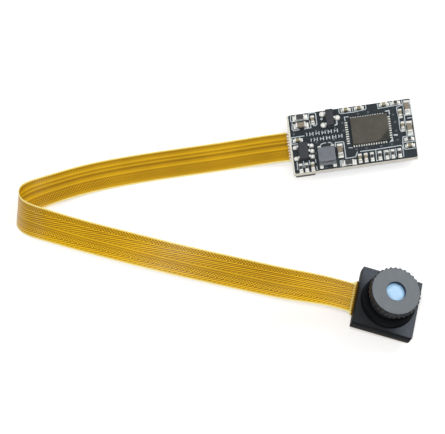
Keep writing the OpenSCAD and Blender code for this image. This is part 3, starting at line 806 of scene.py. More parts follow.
# Lines from the board's front left corner, in millimetres
LEGEND = [
    [(0.71, 10.09), (0.65, 9.12), (0.75, 9.02), (3.55, 9.08), (3.62, 10.08)],
    [(0.86, 8.8), (0.71, 7.79), (0.91, 7.44), (1.94, 7.49)],
    [(2.64, 7.49), (3.77, 7.55), (3.69, 8.25), (3.65, 8.83)],
    [(3.64, 10.07), (4.64, 10.07), (4.8, 9.84), (4.78, 7.97), (4.55, 7.78), (4.13, 7.84)],
    [(2.55, 6.3), (1.74, 6.31), (0.48, 6.3), (0.3, 5.44), (0.48, 5.13), (1.5, 5.14)],
    [(8.62, 10.12), (8.61, 9.43), (8.86, 9.22), (11.08, 9.2), (12.15, 9.3), (12.81, 9.34), (13.01, 9.59), (12.94, 10.12)],
    [(10.78, 10.12), (10.78, 9.35)],
    [(14.89, 10.1), (14.92, 9.2), (16.93, 9.29), (18.89, 9.36), (18.87, 10.09)],
    [(16.89, 10.1), (16.94, 9.4)],
    [(18.88, 9.25), (17.88, 8.94), (17.9, 8.09), (18.01, 6.96), (17.95, 5.2), (18.11, 4.71), (18.84, 4.69)],
    [(18.96, 9.24), (18.93, 7.38), (18.93, 6.82), (18.91, 4.59), (18.9, 3.95)],
    [(20.1, 9.88), (20.1, 7.36), (19.02, 7.38)],
    [(20.1, 6.83), (19.38, 6.84)],
    [(20.1, 3.79), (18.81, 3.79), (18.24, 3.72), (18.11, 2.77), (18.15, 1.75), (18.43, 1.56), (20.1, 1.58)],
    [(18.25, 2.75), (20.1, 2.77)],
    [(8.62, 4.39), (8.71, 4.18), (8.74, 2.53), (8.72, 1.44), (10.3, 1.5), (10.71, 2.34)],
    [(11.14, 2.3), (13.51, 2.26), (17.75, 2.36), (17.98, 2.14), (17.97, 0.39)],
    [(13.63, 2.2), (13.58, 0.31), (13.83, 0.37)],
    [(14.95, 1.95), (14.88, 0.3)],
    [(15.87, 1.95), (15.82, 0.44)],
    [(16.84, 1.99), (16.8, 0.52)],
    [(7.34, 3.67), (7.35, 4.42), (8.56, 4.39)],
    [(4.87, 4.22), (5.02, 4.45), (5.44, 4.6), (5.87, 4.59)],
    [(6.19, 4.61), (6.61, 4.5), (6.86, 4.3)],
    [(0.84, 2.08), (0.81, 0.65)],
    [(1.88, 2.05), (1.86, 0.87)],
    [(2.82, 1.99), (2.83, 1.23)],
    [(3.83, 2.09), (3.87, 1.45)],
    [(3.86, 0.87), (3.95, 0.18)],
    [(8.34, 1.24), (7.74, 1.17), (7.73, 0.22)],
    [(10.03, 8.52), (9.33, 8.55), (9.39, 7.87)],
    [(9.36, 3.2), (10.02, 3.14)],
]
THICK_LEGEND = [
    ([(8.01, 8.15), (8.01, 7.51), (7.6, 7.38), (6.57, 7.35)], 0.26),
    ([(15.96, 8.55), (16.6, 8.6), (16.62, 7.92)], 0.2),
    ([(16.84, 4.27), (17.49, 4.24)], 0.28),
]
LEGEND_DOTS = [(5.64, 8.79, 0.2), (3.76, 7.95, 0.1)]
LEGEND_WEDGE = [(15.96, 3.14), (16.7, 3.25), (16.57, 3.86)]
# Two rows of plain ticks where a board carries its printed note
TICK_ROWS = [(6.45, 2.95), (5.42, 3.55)]
TICKS = 11


def stroke(bm, points, width, height, z):
    """A printed line through points on the board, with mitred bends."""
    points = [Vector((x, y)) for x, y in points]
    rings = []
    for i, p in enumerate(points):
        into = (p - points[i - 1]).normalized() if i else (points[1] - p).normalized()
        out = (points[i + 1] - p).normalized() if i + 1 < len(points) else into
        way = (into + out).normalized()
        reach = width / 2 / max(0.5, into.dot(way))
        side = Vector((-way.y, way.x)) * reach
        left, right = p + side, p - side
        foot = z - math.copysign(0.01, height)
        low = [at_board(*left, foot), at_board(*right, foot)]
        shrink = side * 0.12
        high = [at_board(*(right + shrink), z + height), at_board(*(left - shrink), z + height)]
        rings.append(low + high)
    tube_of(bm, rings)


class CAMMOD_OT_legend(bpy.types.Operator):
    """Prints the legend: outlines, brackets and plain ticks in raised ink"""

    bl_idname = "cammod.legend"
    bl_label = "Printed legend"

    def execute(self, context):
        look = context.scene.cammod_board
        width, height = look.ink_width / MM, look.ink_height / MM
        bm = bmesh.new()
        for line in LEGEND:
            stroke(bm, line, width, height, 0)
        for line, wide in THICK_LEGEND:
            stroke(bm, line, wide, height, 0)
        for x, y, r in LEGEND_DOTS:
            spot = bmesh.new()
            turned(spot, [(0, height), (r - 0.02, height), (r, 0.0), (r, -0.01), (0, -0.01)], 24)
            bmesh.ops.translate(spot, vec=at_board(x, y), verts=spot.verts)
            join(bm, spot)
        tube_of(bm, [[at_board(x, y, z) for x, y in LEGEND_WEDGE] for z in (-0.01, height)])
        dice = random.Random(4)
        for row, start in TICK_ROWS:
            for k in range(TICKS):
                x = start + 0.5 * k
                tall = 0.62 if k % 3 else 0.5
                stroke(bm, [(x, row - tall / 2), (x + 0.02, row + tall / 2)], 0.13 + 0.05 * dice.random(), height, 0)
                if k % 2 and k + 1 < TICKS:
                    stroke(bm, [(x + 0.12, row), (x + 0.36, row + 0.01)], 0.12, height, 0)
        # Ink a little thin at its edges, so the line is pale with darker pinholes
        ink = mottled(
            "legend_ink",
            shade(look.ink, 0.8),
            look.ink,
            0.2,
            bump=0.004,
            bump_grain=0.06,
            rough=(0.55, 0.75),
            spots=(0.5, "8C979E", 0.08),
        )
        piece("legend_print", bm, [ink], [])
        return {"FINISHED"}


# ---------------------------------------------------------------- solder


def fillet(bm, foot, way, reach, width, rise):
    """A solder fillet: it stands against a part's end at its foot, and runs out along way in a hollow slope."""
    side = Vector((-way.y, way.x, 0))
    rings = []
    for k in range(7):
        t = k / 6
        tall = PAD_T * 0.6 + (rise - PAD_T * 0.6) * (1 - t) ** 1.7
        half = width / 2 * (1 - 0.25 * t**3)
        ring = []
        for s, up in (
            (-1, 0), (-0.97, 0.45), (-0.75, 0.82), (-0.3, 0.98), (0.3, 0.98), (0.75, 0.82), (0.97, 0.45), (1, 0),
        ):
            ring.append(foot + way * reach * t + side * half * s + Vector((0, 0, tall * up - (0.01 if up == 0 else 0))))
        rings.append(ring)
    tube_of(bm, rings)


def chips(name):
    """Each chip part of a CAD node: the middle of its foot, its size with both ends, and its long direction."""
    for at, size in islands(name):
        along_x = size.x > size.y
        way = Vector((1, 0, 0)) if along_x else Vector((0, 1, 0))
        long, wide = (size.x, size.y) if along_x else (size.y, size.x)
        yield at, Vector((long + 2 * END_BAND, wide, size.z)), way


class CAMMOD_OT_solder(bpy.types.Operator):
    """Lays the tinned pads, the fillets at every chip part and the drops on every lead and flex contact"""

    bl_idname = "cammod.solder"
    bl_label = "Solder"

    def execute(self, context):
        dice = random.Random(7)
        look = context.scene.cammod_board
        tin = shared("reflowed_tin", solder_finish, look)
        bm = bmesh.new()
        for name, rise in (("small_capacitors", 0.8), ("large_capacitors", 0.7), ("resistors", 0.95)):
            for at, size, way in chips(name):
                pad = 0.75 if size.x > 1.2 else 0.5
                for sign in (-1, 1):
                    outward = way * sign
                    # The pad's bare copper shows as a tinned plate under the fillet
                    middle = at + outward * (size.x / 2 + 0.05)
                    block(bm, (pad, size.y + 0.1, PAD_T), (middle.x, middle.y, BOARD_TOP), 0.02, turned=way.y > 0)
                    foot = at + outward * (size.x / 2 - 0.03)
                    foot.z = BOARD_TOP + 0.01
                    reach = 0.05 + pad / 2 + 0.03
                    tall = size.z * rise * dice.uniform(0.85, 1.1)
                    fillet(bm, foot, outward, reach, size.y + 0.06, tall)
        for at, size in islands("solder_pads"):
            if abs(size.x - 0.7) < 0.02 and abs(size.y - 0.6) < 0.02:
                grow = 1.4 if at.y > BOARD_LOW.y + 6.5 else 1.1
                block(bm, (size.x, size.y, PAD_T), (at.x, at.y, BOARD_TOP), 0.02)
                dome(bm, (0.74 * grow, 0.66 * grow, 0.34 * grow), (at.x, at.y, BOARD_TOP + PAD_T * 0.5), rings=9)
        piece("solder_joints", bm, [tin], ["solder_pads"], smooth=50)
        bm = bmesh.new()
        for at, size in islands("flex_solder"):
            big = dice.uniform(0.9, 1.25)
            dome(bm, (0.46 * big, 0.34 * big, 0.26 * big), (at.x - 0.03, at.y, BOARD_UNDER - 0.02), flat=0.2)
        piece("flex_joints", bm, [tin], ["flex_solder"], smooth=50)
        return {"FINISHED"}


# ---------------------------------------------------------------- the processor


def compound_finish():
    """Epoxy moulding compound with fine silica: a warm matt grey that was ground flat and laser-dulled."""
    material, tree, shader = surface("epoxy_warm_grey", IOR=1.5, Specular_IOR_Level=0.2)
    place = node(tree, "ShaderNodeTexCoord").outputs["Object"]
    low, high = box_mm("image_processor")
    grain = node(tree, "ShaderNodeTexNoise", {"Vector": place, "Scale": per_mm(0.12), "Detail": 6.0}).outputs["Fac"]
    cloud = node(tree, "ShaderNodeTexNoise", {"Vector": place, "Scale": per_mm(1.6), "Detail": 3.0}).outputs["Fac"]
    raw = node(tree, "ShaderNodeMath", {0: grain, 1: cloud}, operation="MULTIPLY").outputs[0]
    # The corner at the right front is darker and greener, bounded by a slightly bowed line
    spot = node(tree, "ShaderNodeSeparateXYZ", {"Vector": place})
    right = node(tree, "ShaderNodeMath", {0: spot.outputs["X"], 1: high.x * MM}, operation="SUBTRACT").outputs[0]
    front = node(tree, "ShaderNodeMath", {0: low.y * MM, 1: spot.outputs["Y"]}, operation="SUBTRACT").outputs[0]
    reach = node(tree, "ShaderNodeMath", {0: right, 1: front}, operation="ADD").outputs[0]
    corner = node(
        tree,
        "ShaderNodeMapRange",
        {"Value": reach, "From Min": -2.1 * MM, "From Max": -1.6 * MM},
    ).outputs["Result"]
    warm = node(tree, "ShaderNodeMix", {"Factor": raw, "A": linear("45423C"), "B": linear("767268")}, data_type="RGBA")
    cool = node(tree, "ShaderNodeMix", {"Factor": raw, "A": linear("2E302C"), "B": linear("4E514A")}, data_type="RGBA")
    mix = node(
        tree,
        "ShaderNodeMix",
        {"Factor": corner, "A": warm.outputs["Result"], "B": cool.outputs["Result"]},
        data_type="RGBA",
    )
    tree.links.new(mix.outputs["Result"], shader.inputs["Base Color"])
    gloss = node(tree, "ShaderNodeMapRange", {"Value": cloud, "To Min": 0.5, "To Max": 0.66}).outputs["Result"]
    tree.links.new(gloss, shader.inputs["Roughness"])
    lift = node(tree, "ShaderNodeBump", {"Strength": 1.0, "Distance": 0.008 * MM, "Height": grain})
    tree.links.new(lift.outputs["Normal"], shader.inputs["Normal"])
    return material


class CAMMOD_OT_processor(bpy.types.Operator):
    """Makes the image processor with its rounded moulding, its dimple and its solder contacts"""

    bl_idname = "cammod.processor"
    bl_label = "Image processor"

    def execute(self, context):
        look = context.scene.cammod_board
        bm = bmesh.new()
        softened(bm, "image_processor", look.package_edge / MM)
        piece("processor_body", bm, [compound_finish()], ["image_processor"], smooth=40)
        bm = bmesh.new()
        for at, size in islands("processor_contacts"):
            block(bm, (size.x, size.y, 0.05), at, 0.015)
            dome(bm, (size.x * 1.15, size.y * 1.05, 0.13), (at.x, at.y, at.z + 0.02), rings=5)
        tin = shared("reflowed_tin", solder_finish, look)
        piece("processor_joints", bm, [tin], ["processor_contacts"], smooth=50)
        return {"FINISHED"}


# ---------------------------------------------------------------- the inductor


class CAMMOD_OT_inductor(bpy.types.Operator):
    """Makes the drum-core inductor with its wound wire and its wrapped terminals"""

    bl_idname = "cammod.inductor"
    bl_label = "Inductor"

    def execute(self, context):
        low, high = box_mm("inductor_core")
        middle = Vector(((low.x + high.x) / 2, (low.y + high.y) / 2, 0))
        wide, long = high.x - low.x, high.y - low.y
        bm = bmesh.new()
        soft_plate(bm, (wide, long, 0.4), 0.15, 0.05, middle + Vector((0, 0, low.z)))
        top_long = long - 0.79
        soft_plate(bm, (wide, top_long, 0.35), 0.35, 0.06, middle + Vector((0, 0, high.z - 0.35)))
        post = bmesh.new()
        turned(post, [(0.8, low.z + 0.3), (0.8, high.z - 0.1)], 48)
        bmesh.ops.holes_fill(post, edges=[e for e in post.edges if e.is_boundary], sides=0)
        bmesh.ops.translate(post, vec=middle, verts=post.verts)
        join(bm, post)
        # Ground ferrite: a satin blue-grey ceramic with dark pores of 0.05 mm, drawn at 0.16 mm
        ferrite = mottled(
            "ground_ferrite",
            linear("5A5E64"),
            linear("7C8188"),
            0.8,
            bump=0.006,
            bump_grain=0.12,
            rough=(0.3, 0.46),
            spots=(0.3, "454B52", 0.12),
        )
        piece("inductor_drum", bm, [ferrite], ["inductor_core"])
        bm = bmesh.new()
        wire = 0.062
        start, stop = low.z + 0.4 + wire, high.z - 0.35 - wire
        layers = 4
        profile = [(0.8, start - wire)]
        for k in range(layers):
            z = start + (stop - start) * k / (layers - 1)
            for a in range(7):
                angle = -TURN / 4 + TURN / 2 * a / 6
                profile.append((1.02 + wire * math.cos(angle), z + wire * 0.9 * math.sin(angle)))
        profile.append((0.8, stop + wire))
        turned(bm, profile, 72)
        bmesh.ops.translate(bm, vec=middle, verts=bm.verts)
        # Enamelled copper wire: a clear red-brown lacquer over metal, so it shines in thin lines
        wire_finish = mottled(
            "enamelled_copper", linear("7A3A1C"), linear("B5652F"), 0.3, rough=(0.22, 0.35), Metallic=0.6, Coat_Weight=0.5
        )
        piece("inductor_wire", bm, [wire_finish], ["inductor_winding"])
        bm = bmesh.new()
        softened(bm, "inductor_terminals", 0.02)
        for at, size in islands("inductor_terminals"):
            for sign in (-1, 1):
                foot = Vector((at.x, at.y + sign * (size.y / 2 - 0.04), BOARD_TOP))
                fillet(bm, foot, Vector((0, sign, 0)), 0.34, size.x + 0.02, 0.34)
        tin = shared("reflowed_tin", solder_finish, context.scene.cammod_board)
        piece("inductor_ends", bm, [tin], ["inductor_terminals"], smooth=50)
        return {"FINISHED"}


# ---------------------------------------------------------------- the leaded packages


def lead_strip(bm, at, way, path, width, thick):
    """A stamped lead: a strip bent along a path of (distance, height) points, with rounded edges."""
    side = Vector((-way.y, way.x, 0))
    flat = [Vector(p) for p in path]
    rings = []
    for i, p in enumerate(flat):
        into = (p - flat[i - 1]).normalized() if i else (flat[1] - p).normalized()
        out = (flat[i + 1] - p).normalized() if i + 1 < len(flat) else into
        lean = (into + out).normalized()
        over = Vector((-lean.y, lean.x)) * (thick / 2 / max(0.6, into.dot(lean)))
        ring = []
        for s, t in ((-1, -0.5), (-1, 0.5), (-0.85, 1), (0.85, 1), (1, 0.5), (1, -0.5), (0.85, -1), (-0.85, -1)):
            x, z = p + over * t
            ring.append(Vector(at) + way * x + side * width / 2 * s + Vector((0, 0, z)))
        rings.append(ring)
    tube_of(bm, rings)


def bent(path, radius=0.07, steps=4):
    """The path with its bends rounded."""
    points = [Vector(p) for p in path]
    made = [points[0]]
    for a, b, c in zip(points, points[1:], points[2:]):
        start = b + (a - b).normalized() * radius
        stop = b + (c - b).normalized() * radius
        for k in range(steps + 1):
            t = k / steps
            made.append(start * (1 - t) ** 2 + b * 2 * t * (1 - t) + stop * t**2)
    made.append(points[-1])
    return made


class CAMMOD_OT_packages(bpy.types.Operator):
    """Makes the regulator and the transistor with their drafted bodies and gull-wing leads"""

    bl_idname = "cammod.packages"
    bl_label = "Leaded packages"

    def execute(self, context):
        look = context.scene.cammod_board
        black = shared("epoxy_charcoal", epoxy_black)
        tinned = shared("tinned_sheet", tinned_sheet)
        for name, right, left in (("regulator", (-0.95, 0, 0.95), (-0.95, 0.95)), ("transistor", (0,), (-0.95, 0.95))):
            low, high = box_mm(name + "_body")
            middle = Vector(((low.x + high.x) / 2, (low.y + high.y) / 2, low.z))
            size = (high.x - low.x, high.y - low.y, high.z - low.z)
            bm = bmesh.new()
            soft_plate(bm, size, 0.06, look.package_edge / MM * 0.8, middle, draft=0.1)
            piece(name + "_moulding", bm, [black], [name + "_body"])
            bm = bmesh.new()
            rise = (high.z - low.z) / 2 + 0.06
            foot = BOARD_TOP + PAD_T
            path = bent([(-0.1, rise), (0.2, rise), (0.27, 0.06), (0.65, 0.06)])
            for sign, rows in ((1, right), (-1, left)):
                for y in rows:
                    at = Vector((middle.x + sign * (size[0] / 2 - 0.03), middle.y + y, foot))
                    lead_strip(bm, at, Vector((sign, 0, 0)), path, 0.4, 0.12)
            piece(name + "_legs", bm, [tinned], [name + "_leads"])
        return {"FINISHED"}


# ---------------------------------------------------------------- chip parts


class CAMMOD_OT_chips(bpy.types.Operator):
    """Makes the chip capacitors and resistors with their plated ends"""

    bl_idname = "cammod.chips"
    bl_label = "Chip parts"

    def execute(self, context):
        dice = random.Random(11)
        # Fired barium titanate: a satin tan ceramic with a faint grain and rounded by tumbling
        tan = mottled(
            "fired_ceramic_tan", linear("7D7660"), linear("A1987C"), 0.5, bump=0.004, bump_grain=0.08, rough=(0.35, 0.5)
        )
        brown = mottled(
            "fired_ceramic_brown", linear("786F60"), linear("968A78"), 0.6, bump=0.004, bump_grain=0.08, rough=(0.35, 0.5)
        )
        plate = shared("plated_end", plated_end)
        ends = bmesh.new()
        for name, finish in (("small_capacitors", tan), ("large_capacitors", brown)):
            bm = bmesh.new()
            for at, size, way in chips(name):
                turned_y = way.y > 0
                block(bm, (size.x - END_BAND, size.y, size.z), at, 0.035, turned=turned_y)
                for sign in (-1, 1):
                    spot = at + way * sign * (size.x - END_BAND) / 2
                    block(ends, (END_BAND, size.y + 0.04, size.z + 0.03), spot, 0.05, turned=turned_y)
            piece(name + "_bodies", bm, [finish], [name])
        piece("capacitor_caps", ends, [plate], ["capacitor_ends"], smooth=50)
        # White alumina, pressed and fired: chalky, with a cool shade in its pores
        alumina = mottled("fired_alumina", linear("D0D0CC"), linear("F0F0EC"), 0.3, bump=0.004, rough=(0.5, 0.7))
        # Fired glass over the resistive film: gloss black with a blue-grey sheen in its hollows
        glaze = mottled("black_glaze", linear("17181B"), linear("2B2E34"), 0.5, rough=(0.16, 0.3), Coat_Weight=0.6)
        bodies, coats, ends = bmesh.new(), bmesh.new(), bmesh.new()
        for at, size, way in chips("resistors"):
            turned_y = way.y > 0
            tall = size.z + 0.05
            block(bodies, (size.x - END_BAND, size.y, size.z), at, 0.025, turned=turned_y)
            spot = at + Vector((0, 0, size.z - 0.005))
            block(coats, (size.x - 2 * END_BAND + 0.06, size.y - 0.05, 0.055), spot, 0.02, turned=turned_y)
            for sign in (-1, 1):
                spot = at + way * sign * (size.x - END_BAND) / 2
                block(ends, (END_BAND, size.y + 0.04, tall + 0.02), spot, 0.045, turned=turned_y)
        piece("resistor_chips", bodies, [alumina], ["resistors"])
        piece("resistor_glaze", coats, [glaze], ["resistor_coats"])
        piece("resistor_caps", ends, [plate], ["resistor_ends"], smooth=50)
        return {"FINISHED"}


# ---------------------------------------------------------------- under the board


class CAMMOD_OT_underside(bpy.types.Operator):
    """Makes the crystal, the memory and the cable pads under the board"""

    bl_idname = "cammod.underside"
    bl_label = "Underside"

    def execute(self, context):
        look = context.scene.cammod_board
        for name, corner, edge, finish, slot in (
            (
                "crystal_base",
                0.2,
                0.04,
                # Co-fired ceramic: dull warm black with a fine tape grain
                mottled("cofired_ceramic", linear("2C2A28"), linear("423E3A"), 0.3, bump=0.005, rough=(0.55, 0.7)),
                "ceramic_dark",
            ),
            (
                "crystal_lid",
                0.3,
                0.05,
                # Gold-flashed iron alloy, seam welded: a pale satin metal with soft roll lines
                mottled("plated_lid", linear("B9AF92"), linear("DAD2B6"), 0.5, bump=0.003, rough=(0.25, 0.4), Metallic=0.9),
                "lid",
            ),
        ):
            low, high = box_mm(name)
            bm = bmesh.new()
            at = Vector(((low.x + high.x) / 2, (low.y + high.y) / 2, low.z))
            soft_plate(bm, high - low, corner, edge, at)
            if name == "crystal_lid":
                # The weld leaves a low rim round the lid
                half = (high - low) / 2
                rings = []
                for inset, z in ((0.12, 0.0), (0.12, -0.02), (0.22, -0.02), (0.22, 0.0)):
                    rim = round_box(half.x - inset, half.y - inset, 0.2, z)
                    rings.append([Vector((at.x, at.y, low.z + 0.02)) + p for p in rim])
                tube_of(bm, rings, capped=False)
            piece(name + "_shell", bm, [finish], [name])
        low, high = box_mm("flash_memory")
        middle = Vector(((low.x + high.x) / 2, (low.y + high.y) / 2, low.z))
        bm = bmesh.new()
        soft_plate(bm, high - low, 0.08, look.package_edge / MM, middle, draft=0.1)
        piece("memory_moulding", bm, [shared("epoxy_charcoal", epoxy_black)], ["flash_memory"])
        bm = bmesh.new()
        rise = (high.z - low.z) / 2 + 0.1
        path = bent([(-0.1, -rise), (0.3, -rise), (0.42, -0.06), (1.0, -0.06)])
        for sign in (-1, 1):
            for k in range(4):
                at = Vector((middle.x + (k - 1.5) * 1.27, middle.y + sign * (high.y - low.y) / 2, BOARD_UNDER))
                lead_strip(bm, at, Vector((0, sign, 0)), path, 0.4, 0.12)
        piece("memory_legs", bm, [shared("tinned_sheet", tinned_sheet)], ["flash_leads"])
        bm = bmesh.new()
        for at, size in islands("cable_pads"):
            disc = bmesh.new()
            r = size.x / 2
            turned(disc, [(0, 0.05), (r, 0.05), (r, 0.012), (r - 0.02, 0), (0, 0)], 40)
            bmesh.ops.translate(disc, vec=(at.x, at.y, BOARD_UNDER - 0.05), verts=disc.verts)
            join(bm, disc)
        # Gold flash over nickel: a smooth warm metal with a slightly grainy gloss
        gold = mottled("gold_flash", linear("C99B45"), linear("E8C778"), 0.3, bump=0.003, rough=(0.2, 0.34), Metallic=1.0)
        piece("pad_discs", bm, [gold], ["cable_pads"])
        bm = bmesh.new()
        # Ring marks round the pads and an outline round the memory, in the same ink as the top
        z = BOARD_UNDER - BOARD_TOP
        for at, size in islands("cable_pads"):
            ring = bmesh.new()
            turned(ring, [(0.75, 0.01), (0.75, -0.012), (0.87, -0.012), (0.87, 0.01), (0.75, 0.01)], 48)
            bmesh.ops.translate(ring, vec=(at.x, at.y, BOARD_UNDER), verts=ring.verts)
            join(bm, ring)
        for line in (
            [(9.75, 2.6), (9.75, 7.6)],
            [(15.25, 2.6), (15.25, 7.6)],
            [(0.35, 3.0), (0.35, 3.35), (3.9, 3.35), (3.9, 2.2)],
            [(5.4, 8.9), (8.4, 8.9)],
            [(5.4, 8.3), (7.6, 8.3)],
        ):
            stroke(bm, line, 0.14, -0.014, z)
        ink = bpy.data.materials.get("legend_ink")
        if ink is None:
            raise RuntimeError("the legend is printed before the underside")
        piece("underside_print", bm, [ink], [])
        return {"FINISHED"}


# ---------------------------------------------------------------- the lens head

SIDE_STEPS = 30
CORNER_STEPS = 6


def square_ring(half, corner, z):
    """A ring round a square with round corners, the same number of points as round_ring."""
    ring = []
    for quarter in range(4):
        turn = Matrix.Rotation(quarter * TURN / 4, 3, "Z")
        flat = half - corner
        side = [(half, flat * (2 * k / SIDE_STEPS - 1)) for k in range(SIDE_STEPS + 1)]
        arc = [
            (flat + corner * math.cos(a), flat + corner * math.sin(a))
            for a in [TURN / 4 * k / CORNER_STEPS for k in range(1, CORNER_STEPS)]
        ]
        ring += [turn @ Vector((x, y, z)) for x, y in side + arc]
    return ring


BEARINGS = [math.atan2(p.y, p.x) for p in square_ring(HEAD_HALF, 0.15, 0)]


def round_ring(radius, z, bearings=BEARINGS):
    """A ring round a circle, with a point on each bearing."""
    return [Vector((radius * math.cos(a), radius * math.sin(a), z)) for a in bearings]


def thread_rings(radius, depth, low, high, bearings):
    """Rings of a screw thread: the radius swings by depth once in each pitch, and shifts as it goes round."""
    rings = []
    count = round((high - low) / THREAD_PITCH * 8)
    for k in range(1, count):
        z = low + (high - low) * k / count
        fade = min(1, 3 * min(k, count - k) / count * 4)
        ring = []
        for a in bearings:
            phase = (z / THREAD_PITCH - a / TURN) % 1
            swing = abs(2 * phase - 1)
            ring.append(Vector(((radius - depth * fade * swing) * math.cos(a), (radius - depth * fade * swing) * math.sin(a), z)))
        rings.append(ring)
    return rings


def holder_top_painted_sheen(look):
    """Glass-filled nylon with a spark-eroded grain and a tiny sparkle, on the base's top: its grey is painted sheen of
    the light from above, and it carries a painted shadow of the barrel.
    """
    # Spark grain of 0.03 mm, drawn at 0.1 mm so that it shows
    material, tree, shader = surface("spark_eroded_nylon_painted_sheen", Specular_IOR_Level=0.15)
    place = node(tree, "ShaderNodeTexCoord").outputs["Object"]
    cloud = node(tree, "ShaderNodeTexNoise", {"Vector": place, "Scale": per_mm(0.5), "Detail": 4.0}).outputs["Fac"]
    # Painted shadow of the barrel: the grain fades to a smooth black towards the head's corner at negative X and Y, 5
    # mm from the middle
    centre = in_head(0, 0, 0) * MM
    local = node(
        tree, "ShaderNodeMapping", {"Vector": place, "Location": centre, "Rotation": HEAD_LEAN}, vector_type="TEXTURE"
    ).outputs[0]
    spot = node(tree, "ShaderNodeSeparateXYZ", {"Vector": local})
    reach = node(tree, "ShaderNodeMath", {0: spot.outputs["X"], 1: spot.outputs["Y"]}, operation="ADD").outputs[0]
    painted_barrel_shadow = node(
        tree,
        "ShaderNodeMapRange",
        {"Value": reach, "From Min": -4.5 * MM, "From Max": 0, "To Min": 0.1, "To Max": 0.85},
        interpolation_type="SMOOTHSTEP",
    ).outputs["Result"]
    raw = node(tree, "ShaderNodeMath", {0: cloud, 1: 0.6, 2: 0.7}, operation="MULTIPLY_ADD").outputs[0]
    tone = node(tree, "ShaderNodeMath", {0: raw, 1: painted_barrel_shadow}, operation="MULTIPLY").outputs[0]
    # From black to a lit copy of the holder's colour, 1.2 times it: the grey is painted sheen
    mix = node(
        tree, "ShaderNodeMix", {"Factor": tone, "A": shade(look.holder, 0.08), "B": shade(look.holder, 1.2)}, data_type="RGBA"
    )
    tree.links.new(mix.outputs["Result"], shader.inputs["Base Color"])
    gloss = node(tree, "ShaderNodeMapRange", {"Value": cloud, "To Min": 0.48, "To Max": 0.6}).outputs["Result"]
    tree.links.new(gloss, shader.inputs["Roughness"])
    grit = node(tree, "ShaderNodeTexNoise", {"Vector": place, "Scale": per_mm(0.1), "Detail": 3.0})
    lift = node(tree, "ShaderNodeBump", {"Strength": 1.0, "Distance": 0.01 * MM, "Height": grit.outputs["Fac"]})
    tree.links.new(lift.outputs["Normal"], shader.inputs["Normal"])
    return material


def wall_painted_shade(look):
    """The same nylon on the walls and the boss, smooth and nearly black: a shaded copy of the holder's colour, painted
    shade beside the top's painted sheen.
    """
    return mottled(
        "nylon_walls_painted_shade",
        shade(look.holder, 0.07),
        shade(look.holder, 0.12),
        0.5,
        bump=0.004,
        bump_grain=0.12,
        rough=(0.34, 0.5),
        Specular_IOR_Level=0.02,
    )


def barrel_finish(name, low, high, rough, shine=0.3):
    """Polycarbonate with carbon black, moulded and finished in a lathe: satin black with fine turned rings."""
    material, tree, shader = surface(name, IOR=1.58, Specular_IOR_Level=shine)
    place = node(tree, "ShaderNodeTexCoord").outputs["Object"]
    # Turned rings 0.12 mm apart about the barrel's axis
    centre = in_head(0, 0, 0) * MM
    local = node(
        tree,
        "ShaderNodeMapping",
        {"Vector": place, "Location": centre, "Rotation": HEAD_LEAN},
        vector_type="TEXTURE",
    ).outputs[0]
    spot = node(tree, "ShaderNodeSeparateXYZ", {"Vector": local})
    flat = node(tree, "ShaderNodeCombineXYZ", {"X": spot.outputs["X"], "Y": spot.outputs["Y"]}).outputs[0]
    radius = node(tree, "ShaderNodeVectorMath", {0: flat}, operation="LENGTH").outputs["Value"]
    rings = node(tree, "ShaderNodeMath", {0: radius, 1: TURN / (0.12 * MM)}, operation="MULTIPLY").outputs[0]
    wave = node(tree, "ShaderNodeMath", {0: rings}, operation="SINE").outputs[0]
    cloud = node(tree, "ShaderNodeTexNoise", {"Vector": place, "Scale": per_mm(0.9), "Detail": 4.0}).outputs["Fac"]
    mix = node(tree, "ShaderNodeMix", {"Factor": cloud, "A": low, "B": high}, data_type="RGBA")
    tree.links.new(mix.outputs["Result"], shader.inputs["Base Color"])
    gloss = node(tree, "ShaderNodeMapRange", {"Value": cloud, "To Min": rough[0], "To Max": rough[1]}).outputs["Result"]
    tree.links.new(gloss, shader.inputs["Roughness"])
    lift = node(tree, "ShaderNodeBump", {"Strength": 0.5, "Distance": 0.004 * MM, "Height": wave})
    tree.links.new(lift.outputs["Normal"], shader.inputs["Normal"])
    return material


